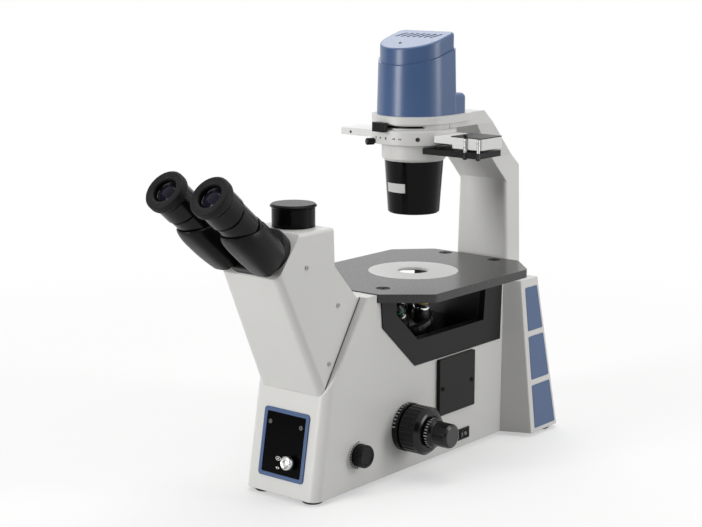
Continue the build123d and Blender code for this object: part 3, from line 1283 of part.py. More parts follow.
def lever_sector(inner, outer, low, high, start, end):
    """A sector of a ring about the optical axis between two angles."""
    ring = tube(outer, inner, low, high)
    reach = 4 * outer
    angles = [start + (end - start) * share / 4 for share in range(5)]
    points = [(reach * cos(radians(angle)), reach * sin(radians(angle))) for angle in angles]
    wedge = Pos(0, 0, low - 1) * extrude(make_face(Polyline((0, 0), *points, close=True)), high - low + 2)
    return ring & wedge


def make_condenser_holder():
    """The stepped ring under the arm: lever slot above, graduated ring with the slider slot below."""
    body = turned([
        (CONDENSER_BORE, SCALE_RING_LOW), (SCALE_RING_RADIUS - 1, SCALE_RING_LOW),
        (SCALE_RING_RADIUS, SCALE_RING_LOW + 1), (SCALE_RING_RADIUS, SLOT_RING_LOW - 1.5),
        (SCALE_RING_RADIUS - 1.5, SLOT_RING_LOW), (SLOT_RING_RADIUS, SLOT_RING_LOW),
        (SLOT_RING_RADIUS, FLANGE_LOW), (IRIS_RADIUS + RUN, FLANGE_LOW), (IRIS_RADIUS + RUN, SLOT_RING_LOW),
        (CONDENSER_BORE, SLOT_RING_LOW),
    ])
    lever_low = (SLOT_RING_LOW + FLANGE_LOW - LEVER_THICKNESS) / 2
    body -= lever_sector(
        IRIS_RADIUS - 1, SLOT_RING_RADIUS + 1, lever_low - SLIP, lever_low + LEVER_THICKNESS + SLIP,
        -90 - LEVER_SLOT_HALF, -90 + LEVER_SLOT_HALF)
    play = RUN * 2
    body -= block(
        (-2 * SCALE_RING_RADIUS, 2 * SCALE_RING_RADIUS),
        (-SLIDER_HALF_WIDTH - play, SLIDER_HALF_WIDTH + play),
        (SLIDER_LOW - play, SLIDER_LOW + SLIDER_THICKNESS + play))
    return body - rod(CLAMP_RADIUS + RUN, SLOT_RING_RADIUS - 4, 2 * SCALE_RING_RADIUS, CLAMP_PLANE)


CLAMP_PLANE = Plane(
    origin=(0, 0, SCALE_RING_LOW + CLAMP_RISE),
    x_dir=(0, 0, 1),
    z_dir=(cos(radians(CLAMP_ANGLE)), sin(radians(CLAMP_ANGLE)), 0),
)


def make_clamp_screw():
    """The thumbscrew that clamps the condenser."""
    low = SCALE_RING_RADIUS + 1
    high = low + CLAMP_KNOB_LENGTH
    return turned([
        (0, SLOT_RING_RADIUS - 3), (CLAMP_RADIUS, SLOT_RING_RADIUS - 3), (CLAMP_RADIUS, low),
        (CLAMP_KNOB_RADIUS - 0.6, low),
        (CLAMP_KNOB_RADIUS, low + 1), (CLAMP_KNOB_RADIUS, high - 1), (CLAMP_KNOB_RADIUS - 1, high), (0, high),
    ], CLAMP_PLANE)


def make_aperture_lever():
    """The iris ring in the holder with its lever and ribbed finger piece."""
    low = (SLOT_RING_LOW + FLANGE_LOW - LEVER_THICKNESS) / 2
    high = low + LEVER_THICKNESS
    ring = tube(IRIS_RADIUS, IRIS_RADIUS - 8, SLOT_RING_LOW + SLIP, FLANGE_LOW - SLIP)
    knob_inner = max(FLANGE_RADIUS, SCALE_RING_RADIUS) + 2 * SLIP
    middle = (SLOT_RING_LOW + FLANGE_LOW) / 2
    arm = block((IRIS_RADIUS - 2, knob_inner + 1), (-LEVER_HALF, LEVER_HALF), (low, high))
    half = LEVER_KNOB_WIDTH / 2
    knob = block(
        (knob_inner, knob_inner + LEVER_KNOB_DEPTH), (-half, half),
        (middle - LEVER_KNOB_HEIGHT / 2, middle + LEVER_KNOB_HEIGHT / 2))
    knob = fillet(knob.edges().filter_by(Axis.Z), 1.5)
    pitch = LEVER_KNOB_WIDTH / LEVER_RIBS
    for step in range(1, LEVER_RIBS):
        place = Pos(knob_inner + LEVER_KNOB_DEPTH, step * pitch - half, middle)
        knob -= place * Cylinder(pitch * 0.27, 2 * LEVER_KNOB_HEIGHT)
    return ring + Rot(0, 0, LEVER_REST) * (arm + knob)


def make_phase_slider():
    """The long slider through the holder: an open aperture, a seat for the phase ring and a thicker grip."""
    high = SLIDER_LOW + SLIDER_THICKNESS
    half = SLIDER_HALF_WIDTH
    bar = block((SLIDER_LEFT, SLIDER_RIGHT), (-half, half), (SLIDER_LOW, high))
    grip_low = SLIDER_LOW - SLIDER_GRIP_DEPTH
    bar += block((SLIDER_RIGHT - SLIDER_GRIP, SLIDER_RIGHT), (-half, half), (grip_low, high))
    bar = fillet(bar.edges().filter_by(Axis.Z), SLIDER_CORNER)
    for x in (0, -SLIDER_PITCH):
        bar -= rod(SLIDER_APERTURE, 0, FLANGE_TOP, Plane(origin=(x, 0, 0)))
    return bar


def make_phase_ring():
    """The phase ring in the slider's second seat: a disc with a ring of clear slots."""
    seat = Plane(origin=(-SLIDER_PITCH, 0, 0))
    low = SLIDER_LOW + SLIDER_THICKNESS / 2 - 1
    disc = rod(SLIDER_APERTURE - HAIR, low, low + 2, seat)
    slots = tube(SLIDER_APERTURE * 0.62, SLIDER_APERTURE * 0.48, low - 1, low + 3, seat)
    bars = Box(2 * SLIDER_APERTURE, 2, 8) + Box(2, 2 * SLIDER_APERTURE, 8)
    return disc - (slots - seat.location * Pos(0, 0, low) * bars)


def make_slider_tray():
    """The black tray on the condenser collar that steadies the slider's grip."""
    right = SLIDER_RIGHT - TRAY_SHORT
    tray = block((0, right), (-TRAY_HALF_WIDTH, TRAY_HALF_WIDTH), (TRAY_TOP - TRAY_THICKNESS, TRAY_TOP))
    middle = TRAY_TOP - TRAY_THICKNESS / 2
    corners = [edge_at(tray, right, side * TRAY_HALF_WIDTH, middle) for side in (-1, 1)]
    tray = fillet(corners, TRAY_CORNER)
    tray -= rod(COLLAR_RADIUS, 0, FLANGE_TOP)
    return tray - [rod(PIN_RADIUS + HAIR, 0, FLANGE_TOP, plane) for plane in pin_planes()]


def pin_planes():
    """The places of the tray's two guide pins, just clear of the slider's front edge."""
    y = -SLIDER_HALF_WIDTH - PIN_RADIUS - SLIP
    return [Plane(origin=(SLIDER_RIGHT - inset, y, 0)) for inset in PIN_PLACES]


def make_tray_pins():
    """Two headed pins that stand up through the tray in front of the slider."""
    head = TRAY_TOP - TRAY_THICKNESS
    foot = head - PIN_HEAD_HEIGHT
    top = SLIDER_LOW + SLIDER_THICKNESS
    profile = [
        (0, foot), (PIN_HEAD_RADIUS - 0.8, foot), (PIN_HEAD_RADIUS, foot + 0.8), (PIN_HEAD_RADIUS, head),
        (PIN_RADIUS, head), (PIN_RADIUS, top), (0, top)]
    return [turned(profile, plane) for plane in pin_planes()]


def make_condenser_collar():
    """The white collar under the graduated ring."""
    return turned([
        (CONDENSER_BORE, COLLAR_LOW), (COLLAR_RADIUS - 3, COLLAR_LOW), (COLLAR_RADIUS, COLLAR_LOW + 3),
        (COLLAR_RADIUS, SCALE_RING_LOW), (CONDENSER_BORE, SCALE_RING_LOW)])


def make_condenser_cone():
    """The long black condenser mount that narrows towards the stage."""
    inner_top = CONE_TOP_RADIUS - CONE_WALL
    inner_foot = CONE_FOOT_RADIUS - CONE_WALL
    return turned([
        (inner_foot, CONE_LOW), (CONE_FOOT_RADIUS - 1.5, CONE_LOW), (CONE_FOOT_RADIUS, CONE_LOW + 1.5),
        (CONE_TOP_RADIUS, COLLAR_LOW), (CONDENSER_BORE, COLLAR_LOW), (CONDENSER_BORE, COLLAR_LOW - CONE_WALL),
        (inner_top, COLLAR_LOW - CONE_WALL), (inner_foot, CONE_LOW + CONE_LENS_SEAT + 1)])


def make_lenses():
    """The front lens in the mouth of the condenser and the collector lens over the flange."""
    front = crowned_lens(CONE_FOOT_RADIUS - CONE_WALL - HAIR, CONE_LOW + 1.5, 4)
    collector = crowned_lens(CONDENSER_BORE - 2 * HAIR, FLANGE_LOW, 3)
    return [front, collector, make_tube_lens()]


def crowned_lens(radius, low, edge):
    """A lens on the optical axis, flat below and crowned above its edge."""
    crown = [(radius, 0), (radius * 0.7, 4), (radius * 0.3, 6), (0, 6.4)]
    return turned([(0, low), (radius, low)] + [(wide, low + edge + rise) for wide, rise in crown])


# Lamp house
def under_slope(solid, height, lift):
    """Cuts a solid off above a plane that rises to the rear, through a height on the optical axis."""
    reach = 4 * LAMP_RADIUS
    cutter = Pos(0, 0, height) * Rot(LAMP_SLOPE, 0, 0) * Pos(0, 0, reach / 2) * Box(reach, reach, reach)
    return solid - cutter if lift else solid & cutter


def seam_height():
    """The height of the lamp house's joint on the optical axis."""
    return LAMP_SEAM_FRONT + LAMP_RADIUS * tan(radians(LAMP_SLOPE))


def cap_height():
    """The height of the lamp cap's top on the optical axis."""
    return LAMP_CAP_REAR_TOP - LAMP_BACK * tan(radians(LAMP_SLOPE))


def make_lamp_housing():
    """The lower lamp house: a tapered D-shaped shell with a low ledge behind."""
    tall = LAMP_CAP_REAR_TOP - FLANGE_TOP
    plan = d_plan(LAMP_RADIUS, LAMP_BACK, LAMP_CORNER)
    shell = Pos(0, 0, FLANGE_TOP) * extrude(plan, tall, taper=LAMP_TAPER)
    ledge_plan = d_plan(LAMP_RADIUS - 1, LAMP_LEDGE_BACK, LAMP_CORNER)
    ledge = Pos(0, 0, FLANGE_TOP) * extrude(ledge_plan, LAMP_LEDGE_HEIGHT)
    ledge = fillet(ledge.edges().group_by(Axis.Z)[-1].sort_by(Axis.Y)[-1:], LAMP_LEDGE_EDGE)
    ledge_top = FLANGE_TOP + LAMP_LEDGE_HEIGHT
    ledge &= block((-LAMP_RADIUS, LAMP_RADIUS), (0, LAMP_LEDGE_BACK), (FLANGE_TOP, ledge_top))
    shell = under_slope(shell, seam_height(), True) + ledge
    hollow = d_plan(LAMP_RADIUS - LAMP_WALL, LAMP_BACK - LAMP_WALL, LAMP_CORNER - LAMP_WALL)
    return shell - Pos(0, 0, FLANGE_TOP - 1) * extrude(hollow, tall, taper=LAMP_TAPER)


def make_lamp_cap():
    """The upper lamp house: a stepped-in cap with a sloping top and slanted vents."""
    inset = LAMP_CAP_INSET
    plan = d_plan(LAMP_RADIUS - inset, LAMP_BACK - inset / 2, LAMP_CORNER)
    tall = LAMP_CAP_REAR_TOP - FLANGE_TOP
    cap = Pos(0, 0, FLANGE_TOP) * extrude(plan, 2 * tall)
    cap = under_slope(cap, cap_height(), True)
    top = cap.faces().sort_by(Axis.Z)[-1]
    cap = fillet(top.edges(), LAMP_CAP_EDGE)
    inner_radius = LAMP_RADIUS - inset - LAMP_WALL
    inner = d_plan(inner_radius, LAMP_BACK - inset / 2 - LAMP_WALL, LAMP_CORNER - LAMP_WALL)
    hollow = under_slope(Pos(0, 0, FLANGE_TOP) * extrude(inner, 2 * tall), cap_height() - LAMP_WALL, True)
    cap -= hollow
    cap = under_slope(cap, seam_height(), False)
    for step in range(VENT_COUNT):
        x = (step - (VENT_COUNT - 1) / 2) * VENT_PITCH
        slot = Pos(0, 0, cap_height()) * Rot(LAMP_SLOPE, 0, 0) * Pos(x, VENT_Y, 0) * Rot(0, 0, -VENT_SLANT)
        cap -= slot * extrude(SlotOverall(VENT_LENGTH, VENT_WIDTH, rotation=90), 3 * LAMP_WALL, both=True)
    return cap


def make_lamp():
    """The lamp unit: a ring on the flange, three posts and a finned head with the emitter."""
    ring_top = FLANGE_TOP + LAMP_RING
    body = tube(LAMP_RING_RADIUS, CONDENSER_BORE, FLANGE_TOP, ring_top)
    for step in range(3):
        angle = radians(120 * step - 90)
        place = Plane(origin=((LAMP_RING_RADIUS - 3) * cos(angle), (LAMP_RING_RADIUS - 3) * sin(angle), 0))
        body += rod(2, FLANGE_TOP, FLANGE_TOP + LAMP_RISE, place)
    plate = FLANGE_TOP + LAMP_RISE
    body += rod(LAMP_RING_RADIUS, plate, plate + 3)
    for step in range(-3, 4):
        body += block(
            (step * 7 - 1, step * 7 + 1), (-LAMP_FIN_HALF, LAMP_FIN_HALF),
            (plate + 3 - HAIR, plate + 3 + LAMP_FIN_HEIGHT))
    body += rod(6, plate - 4, plate)
    room = LAMP_WALL + LAMP_GAP
    plan = d_plan(LAMP_RADIUS - room, LAMP_BACK - room, LAMP_CORNER - LAMP_WALL)
    return body & Pos(0, 0, FLANGE_TOP) * extrude(plan, LAMP_CAP_REAR_TOP - FLANGE_TOP)


# Every piece by the name of its node
right_arm = make_binocular_arm(1)
left_arm = mirrored(make_binocular_arm(0))
PIECES = {
    "base_casting": make_base_casting(),
    "base_plate": make_base_plate(),
    "feet": make_feet(),
    "rear_housing": make_rear_housing(),
    "side_tiles": make_side_tiles(),
    "power_inlet": make_power_inlet(),
    "chamber_frame_right": make_chamber_frame(),
    "chamber_frame_left": mirrored(make_chamber_frame()),
    "front_bezel": make_front_bezel(),
    "front_panel": make_front_panel(),
    "beam_selector_rod": make_beam_selector(),
    "access_door": make_access_door(),
    "switch_frame": make_switch_frame(),
    "power_rocker": make_power_rocker(),
    "brightness_dial": make_brightness_dial(),
    "brightness_knob": make_brightness_knob(),
    "fixing_screws": make_cover_screws() + make_stage_screws(),
    "stage_plate": make_stage_plate(),
    "stage_insert": make_stage_insert(),
    "coarse_shaft": make_coarse_shaft(),
    "coarse_knob_right": make_coarse_knob(False),
    "coarse_knob_left": mirrored(make_coarse_knob(True)),
    "tension_ring": make_tension_ring(),
    "fine_shaft": make_fine_shaft(),
    "fine_knob_right": make_fine_knob(),
    "fine_knob_left": mirrored(make_fine_knob()),
    "focus_guide": make_focus_guide(),
    "focus_carriage": make_focus_carriage(),
    "nosepiece_mount": make_nosepiece_mount(),
    "turret": make_turret(),
    "objectives": make_objectives(),
    "mirror_block": make_mirror_block(),
    "head_housing": make_head_housing(),
    "camera_port": make_camera_port(),
    "camera_port_cap": make_camera_port_cap(),
    "binocular_base": make_binocular_base(),
    "binocular_arm_right": right_arm,
    "binocular_arm_left": left_arm,
    "diopter_ring_right": make_diopter_ring(),
    "diopter_ring_left": mirrored(make_diopter_ring()),
    "eyepiece_right": make_eyepiece(),
    "eyepiece_left": mirrored(make_eyepiece()),
    "eye_lens_right": make_eye_lens(),
    "eye_lens_left": mirrored(make_eye_lens()),
    "eyecup_right": make_eyecup(),
    "eyecup_left": mirrored(make_eyecup()),
    "illumination_arm": make_illumination_arm(),
    "condenser_holder": make_condenser_holder(),
    "clamp_screw": make_clamp_screw(),
    "aperture_lever": make_aperture_lever(),
    "phase_slider": make_phase_slider(),
    "phase_ring": make_phase_ring(),
    "slider_tray": make_slider_tray(),
    "tray_pins": make_tray_pins(),
    "condenser_collar": make_condenser_collar(),
    "condenser_cone": make_condenser_cone(),
    "lenses": make_lenses(),
    "lamp_housing": make_lamp_housing(),
    "lamp_cap": make_lamp_cap(),
    "lamp": make_lamp(),
}

# The origin of the finished part is the middle of its box, on the table
solids = {name: piece if isinstance(piece, list) else [piece] for name, piece in PIECES.items()}
groups = [Compound(solid.solids()) for pieces in solids.values() for solid in pieces]
whole = Compound(children=groups).bounding_box()
to_origin = Pos(-whole.center().X, -whole.center().Y, -whole.min.Z)
os.makedirs("parts", exist_ok=True)
for name, pieces in solids.items():
    parts = [solid for piece in pieces for solid in piece.solids()]
    shape = to_origin * (Compound(parts) if len(parts) > 1 else parts[0])
    export_step(shape, f"parts/{name}.step")
print("optical axis at y", round(-whole.center().Y, 3), "box", whole.size)
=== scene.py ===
import math

import bmesh
import bpy
from mathutils import Matrix, Vector


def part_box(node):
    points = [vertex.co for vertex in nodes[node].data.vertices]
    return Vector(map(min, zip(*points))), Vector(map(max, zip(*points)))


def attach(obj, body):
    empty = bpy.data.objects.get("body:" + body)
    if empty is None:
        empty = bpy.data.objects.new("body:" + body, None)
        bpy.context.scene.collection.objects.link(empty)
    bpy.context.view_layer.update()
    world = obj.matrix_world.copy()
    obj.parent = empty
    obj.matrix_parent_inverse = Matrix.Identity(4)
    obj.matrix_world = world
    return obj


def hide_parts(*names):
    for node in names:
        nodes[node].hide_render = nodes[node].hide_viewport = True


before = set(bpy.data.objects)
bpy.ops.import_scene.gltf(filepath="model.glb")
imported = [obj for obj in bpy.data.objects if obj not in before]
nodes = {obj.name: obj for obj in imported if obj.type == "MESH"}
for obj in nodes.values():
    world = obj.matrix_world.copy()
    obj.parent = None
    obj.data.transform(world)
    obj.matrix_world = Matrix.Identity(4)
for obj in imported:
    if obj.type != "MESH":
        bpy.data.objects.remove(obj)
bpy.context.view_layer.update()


# Stand castings. Sand-cast aluminium, filled and sprayed with a pale warm grey enamel that dries
# with a faint orange-peel skin. The head, the rear housing, the lamp arm and the condenser holder
# are bolted on and sprayed in the same batch. Inside a box round the chamber under the stage the
# casting is coloured black.
MM = 0.001
insert_low, insert_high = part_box("stage_insert")
axis_y = (insert_low.y + insert_high.y) / 2


class Wire:
    """One socket of a node tree. Sums and products with it add Math nodes."""

    def __init__(self, tree, socket):
        self.tree = tree
        self.socket = socket

    def node(self, kind, settings, inputs, output=0):
        """Adds a node: its settings first, then the values or links of its sockets."""
        made = self.tree.nodes.new(kind)
        for name, value in settings.items():
            setattr(made, name, value)
        self.plug(made, inputs)
        return Wire(self.tree, made.outputs[output])

    def plug(self, made, inputs):
        """Sets or links the named sockets of a node."""
        for name, value in inputs.items():
            if isinstance(value, Wire):
                self.tree.links.new(value.socket, made.inputs[name])
            else:
                made.inputs[name].default_value = value

    def maths(self, operation, first, second):
        return self.node("ShaderNodeMath", {"operation": operation}, {0: first, 1: second})

    def __add__(self, other):
        return self.maths("ADD", self, other)

    def __radd__(self, other):
        return self.maths("ADD", other, self)

    def __sub__(self, other):
        return self.maths("SUBTRACT", self, other)

    def __rsub__(self, other):
        return self.maths("SUBTRACT", other, self)

    def __mul__(self, other):
        return self.maths("MULTIPLY", self, other)

    def __rmul__(self, other):
        return self.maths("MULTIPLY", other, self)

    def __truediv__(self, other):
        return self.maths("DIVIDE", self, other)

    def noise(self, scale, detail):
        sockets = {"Vector": self, "Scale": scale, "Detail": detail}
        return self.node("ShaderNodeTexNoise", {}, sockets)

    def along(self, number):
        """One of the three measures of a place: 0 across, 1 to the rear, 2 up."""
        return self.node("ShaderNodeSeparateXYZ", {}, {0: self}, number)

    def between(self, low, high):
        """One where a measure lies between two millimetre marks, and nought elsewhere."""
        sockets = {0: self, 1: (low + high) / 2 * MM, 2: (high - low) / 2 * MM}
        return self.node("ShaderNodeMath", {"operation": "COMPARE"}, sockets)

    def inside(self, x_range, y_range, z_range):
        """One inside a box that is measured from the optical axis and the table."""
        rear = self.along(1) - axis_y
        return self.along(0).between(*x_range) * rear.between(*y_range) * self.along(2).between(*z_range)

    def tint(self, mask, low, high):
        """A colour between two, by a mask from 0 to 1."""
        ends = [shade if isinstance(shade, Wire) else (*shade, 1.0) for shade in (low, high)]
        sockets = {0: mask, 6: ends[0], 7: ends[1]}
        return self.node("ShaderNodeMix", {"data_type": "RGBA"}, sockets, 2)

    def bump(self, height, strength, depth, edge=0.0):
        """Relief from a height mask. The edge is the radius in millimetres that eases sharp edges."""
        sockets = {"Height": height, "Strength": strength, "Distance": depth}
        if edge:
            sockets["Normal"] = self.node("ShaderNodeBevel", {"samples": 4}, {"Radius": edge * MM})
        return self.node("ShaderNodeBump", {}, sockets)


def new_finish(name):
    """A fresh material, its shader, and the Object coordinates of the piece that wears it."""
    material = bpy.data.materials.new(name)
    material.use_nodes = True
    tree = material.node_tree
    place = tree.nodes.new("ShaderNodeTexCoord")
    return material, tree.nodes["Principled BSDF"], Wire(tree, place.outputs["Object"])


def dress(material, *names):
    """Gives CAD nodes a finish."""
    for name in names:
        slots = nodes[name].data.materials
        slots.clear()
        slots.append(material)


def sprayed_enamel(name, chamber):
    """The stand's enamel, coloured black inside a box where one is asked for."""
    material, shader, place = new_finish(name)
    peel = place.noise(900.0, 2.0)
    haze = place.noise(14.0, 3.0)
    colour = place.tint(haze, (0.655, 0.65, 0.63), (0.69, 0.685, 0.665))
    if chamber:
        colour = place.tint(place.inside(*chamber), colour, (0.012, 0.012, 0.013))
    place.plug(shader, {
        "Base Color": colour,
        "Roughness": 0.34 + 0.12 * peel,
        "Normal": place.bump(peel, 0.12, 0.0003, 0.9),
    })
    return material


enamel = sprayed_enamel("stand_enamel", None)
dress(enamel, "rear_housing", "head_housing", "illumination_arm", "condenser_holder",
      "condenser_collar")
chamber_room = ((-53.4, 53.4), (-104.6, 78.6), (111.0, 224.0))
dress(sprayed_enamel("chamber_enamel", chamber_room), "base_casting")


# Bottom sheets and feet. Flat zinc-plated sheets close the stand and the rear housing from below,
# held by screws from beneath, and four moulded rubber feet carry the stand.
def bare_metal(name, fineness, detail, low, high, rough, spread):
    """A bare metal: the fineness and detail of its lay, two shades, and its roughness."""
    material, shader, place = new_finish(name)
    lay = place.noise(fineness, detail)
    place.plug(shader, {
        "Base Color": place.tint(lay, low, high),
        "Roughness": rough + spread * lay,
        "Metallic": 1.0,
    })
    return material


zinc = bare_metal("zinc_sheet", fineness=160.0, detail=1.0, low=(0.42, 0.43, 0.44),
                  high=(0.55, 0.55, 0.55), rough=0.3, spread=0.25)
dress(zinc, "base_plate")

rubber, shader, place = new_finish("foot_rubber")
grain = place.noise(1600.0, 3.0)
place.plug(shader, {
    "Base Color": place.tint(grain, (0.006, 0.006, 0.0065), (0.012, 0.012, 0.0125)),
    "Roughness": 0.5 + 0.2 * grain,
    "Specular IOR Level": 0.16,
    "Normal": place.bump(grain, 0.3, 0.0003),
})
dress(rubber, "feet")

steel = bare_metal("bright_steel", fineness=900.0, detail=2.0, low=(0.72, 0.72, 0.71),
                   high=(0.82, 0.82, 0.81), rough=0.14, spread=0.14)


def seat(origin, across, outward):
    """The place of a small piece drawn in millimetres: its origin from the optical axis, its X and Z."""
    z = Vector(outward).normalized()
    y = z.cross(Vector(across)).normalized()
    turn = Matrix((y.cross(z), y, z)).transposed().to_4x4()
    spot = Vector(origin) * MM + Vector((0.0, axis_y, 0.0))
    return Matrix.Translation(spot) @ turn @ Matrix.Scale(MM, 4)


def settle(piece, mesh, place, body):
    """Sets a drawn mesh in its place, rounds its shading, and rides it on a body."""
    mesh.transform(place)
    mesh.polygons.foreach_set("use_smooth", [True] * len(mesh.polygons))
    mesh.set_sharp_from_angle(angle=math.radians(32.0))
    piece.data = mesh
    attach(piece, body)
    return piece


def new_piece(name, mesh):
    piece = bpy.data.objects.new(name, mesh)
    bpy.context.scene.collection.objects.link(piece)
    return piece


def geometry_tree(name, asked):
    """An empty geometry tree with named inputs, and a Wire for each of them."""
    tree = bpy.data.node_groups.new(name, "GeometryNodeTree")
    for label, kind in asked.items():
        tree.interface.new_socket(label, in_out="INPUT", socket_type="NodeSocket" + kind)
    tree.interface.new_socket("Geometry", in_out="OUTPUT", socket_type="NodeSocketGeometry")
    entry = tree.nodes.new("NodeGroupInput")
    return tree, {label: Wire(tree, entry.outputs[label]) for label in asked}


def close_tree(repeats, finish):
    """Ends a geometry tree: the repeats become real meshes in one finish."""
    real = repeats.node("GeometryNodeRealizeInstances", {}, {"Geometry": repeats})
    dressed = real.node("GeometryNodeSetMaterial", {}, {"Geometry": real, "Material": finish})
    dressed.plug(dressed.tree.nodes.new("NodeGroupOutput"), {"Geometry": dressed})


def grow(name, tree, sizes, start, place, body):
    """Runs a geometry tree on a start mesh and keeps the plain mesh that it makes."""
    piece = new_piece(name, start)
    grower = piece.modifiers.new(name, "NODES")
    grower.node_group = tree
    for item in tree.interface.items_tree:
        if item.in_out == "INPUT" and item.name in sizes:
            grower[item.identifier] = sizes[item.name]
    ready = piece.evaluated_get(bpy.context.evaluated_depsgraph_get())
    mesh = bpy.data.meshes.new_from_object(ready)
    piece.modifiers.clear()
    return settle(piece, mesh, place, body)


screw_tree, asked = geometry_tree("socket_screws", {
    "Geometry": "Geometry", "Head radius": "Float", "Head height": "Float", "Finish": "Material"})
wide, tall = asked["Head radius"], asked["Head height"]
head_taper, key_share, key_depth = 0.86, 0.5, 1.2
head = tall.node("GeometryNodeMeshCone", {}, {
    "Vertices": 28, "Radius Top": wide * head_taper, "Radius Bottom": wide, "Depth": tall})
key = tall.node("GeometryNodeMeshCylinder", {}, {
    "Vertices": 6, "Radius": wide * key_share, "Depth": tall * key_depth})
lift = tall.node("ShaderNodeCombineXYZ", {}, {"Z": tall})
key = tall.node("GeometryNodeTransform", {}, {"Geometry": key, "Translation": lift})
head = tall.node("GeometryNodeMeshBoolean", {"operation": "DIFFERENCE"}, {"Mesh 1": head, "Mesh 2": key})
outward = tall.node("GeometryNodeInputNamedAttribute", {"data_type": "FLOAT_VECTOR"}, {"Name": "outward"})
turn = tall.node("FunctionNodeAlignRotationToVector", {"axis": "Z"}, {"Vector": outward})
close_tree(tall.node("GeometryNodeInstanceOnPoints", {}, {
    "Points": asked["Geometry"], "Instance": head, "Rotation": turn}), asked["Finish"])

rightward = (1.0, 0.0, 0.0)
upward = (0.0, 0.0, 1.0)
downward = (0.0, 0.0, -1.0)
table_seat = seat((0.0, 0.0, 0.0), rightward, upward)


def socket_screws(name, spots, head_size, finish, body):
    """Screw heads of one radius and height at (place, outward) pairs, measured from the optical axis."""
    start = bpy.data.meshes.new(name)
    start.from_pydata([place for place, outward in spots], [], [])
    ways = start.attributes.new("outward", "FLOAT_VECTOR", "POINT")
    for number, (place, outward) in enumerate(spots):
        ways.data[number].vector = outward
    sizes = {"Head radius": head_size[0], "Head height": head_size[1], "Finish": finish}
    return grow(name, screw_tree, sizes, start, table_seat, body)


sheet_low = 5.0
sheet_head = (3.2, 1.4)
stand_rows = (-205.0, -60.0, 105.0)
rear_row = 163.0
sheet_spots = [((x, y, sheet_low), downward) for x in (-40.0, 40.0) for y in stand_rows]
sheet_spots += [((x, rear_row, sheet_low), downward) for x in (-50.0, 50.0)]
socket_screws("sheet_screws", sheet_spots, sheet_head, steel, "stand")


# Rear housing. The flared casting behind the stand holds the power supply: blue moulded tiles in
# its flanks, and behind them cooling louvres, four cover screws, and a mains inlet on two screws of
# its own with three brass blades.
blue, shader, place = new_finish("blue_cover")
grain = place.noise(1300.0, 2.0)
drift = place.noise(18.0, 2.0)
place.plug(shader, {
    "Base Color": place.tint(drift, (0.055, 0.105, 0.23), (0.065, 0.12, 0.25)),
    "Roughness": 0.25 + 0.1 * grain,
    "Normal": place.bump(grain, 0.1, 0.0002, 0.8),
})
dress(blue, "side_tiles")


def black_finish(name, low, high, rough, gloss, edge, relief=0.04):
    """A black: two shades of grey, roughness, gloss, how far edges are eased, and its grain."""
    material, shader, place = new_finish(name)
    skin = place.noise(700.0, 3.0)
    drift = place.noise(22.0, 2.0)
    place.plug(shader, {
        "Base Color": place.tint(drift, (low, low, low * 1.05), (high, high, high * 1.05)),
        "Roughness": rough + 0.14 * skin,
        "Specular IOR Level": gloss,
        "Normal": place.bump(skin, relief, 0.0003, edge),
    })
    return material


inlet_black = black_finish("inlet_black", low=0.01, high=0.015, rough=0.34, gloss=0.25, edge=0.5)
dress(inlet_black, "power_inlet")

rear_foot, rear_top = (193.0, sheet_low), (171.5, 200.0)
rear_lean = (rear_foot[0] - rear_top[0]) / (rear_top[1] - rear_foot[1])
rearward = Vector((0.0, 1.0, rear_lean)).normalized()


def rear_face(x, z):
    """A place on the leaning rear face."""
    return (x, rear_foot[0] - (z - rear_foot[1]) * rear_lean, z)


inlet_height = 52.0
cover_head = (2.8, 1.2)
cover_spots = [(rear_face(x, z), rearward) for x in (-62.0, 62.0) for z in (24.0, 188.0)]
cover_spots += [(rear_face(x, inlet_height), rearward) for x in (-20.5, 20.5)]
socket_screws("rear_cover_screws", cover_spots, cover_head, steel, "stand")


def cast(name, draft, place, finish, body):
    """Turns a drawn shape into a piece."""
    bmesh.ops.recalc_face_normals(draft, faces=draft.faces)
    mesh = bpy.data.meshes.new(name)
    draft.to_mesh(mesh)
    draft.free()
    mesh.materials.append(finish)
    return settle(new_piece(name, mesh), mesh, place, body)


def prism(name, sheets, thick, place, finish, body):
    """Flat sheets of one thickness, each a list of loops of (x, y) points that may share sides."""
    draft = bmesh.new()
    for sheet in sheets:
        points = dict.fromkeys(point for loop in sheet for point in loop)
        corners = {point: draft.verts.new((*point, 0.0)) for point in points}
        faces = [draft.faces.new([corners[point] for point in loop]) for loop in sheet]
        raised = bmesh.ops.extrude_face_region(draft, geom=faces)["geom"]
        tops = [item for item in raised if isinstance(item, bmesh.types.BMVert)]
        bmesh.ops.translate(draft, verts=tops, vec=(0.0, 0.0, thick))
    return cast(name, draft, place, finish, body)


brass = bare_metal("blade_brass", fineness=800.0, detail=2.0, low=(0.66, 0.6, 0.42),
                   high=(0.74, 0.68, 0.5), rough=0.2, spread=0.15)
leftward = (-1.0, 0.0, 0.0)
backward = (0.0, 1.0, 0.0)
blade_long, blade_set_back = 9.2, 12.6
blade = [(-1.08, -2.08), (1.08, -2.08), (1.08, 1.7), (0.6, 2.08), (-0.6, 2.08), (-1.08, 1.7)]
blade_spots = ((-7.0, 0.0), (0.0, 3.5), (7.0, 0.0))
blades = [[[(x + corner_x, z + corner_z) for corner_x, corner_z in blade]] for x, z in blade_spots]
inlet_y = rear_face(0.0, inlet_height)[1]
inlet_seat = seat((0.0, inlet_y - blade_set_back, inlet_height), leftward, backward)
prism("inlet_blades", blades, blade_long, inlet_seat, brass, "stand")

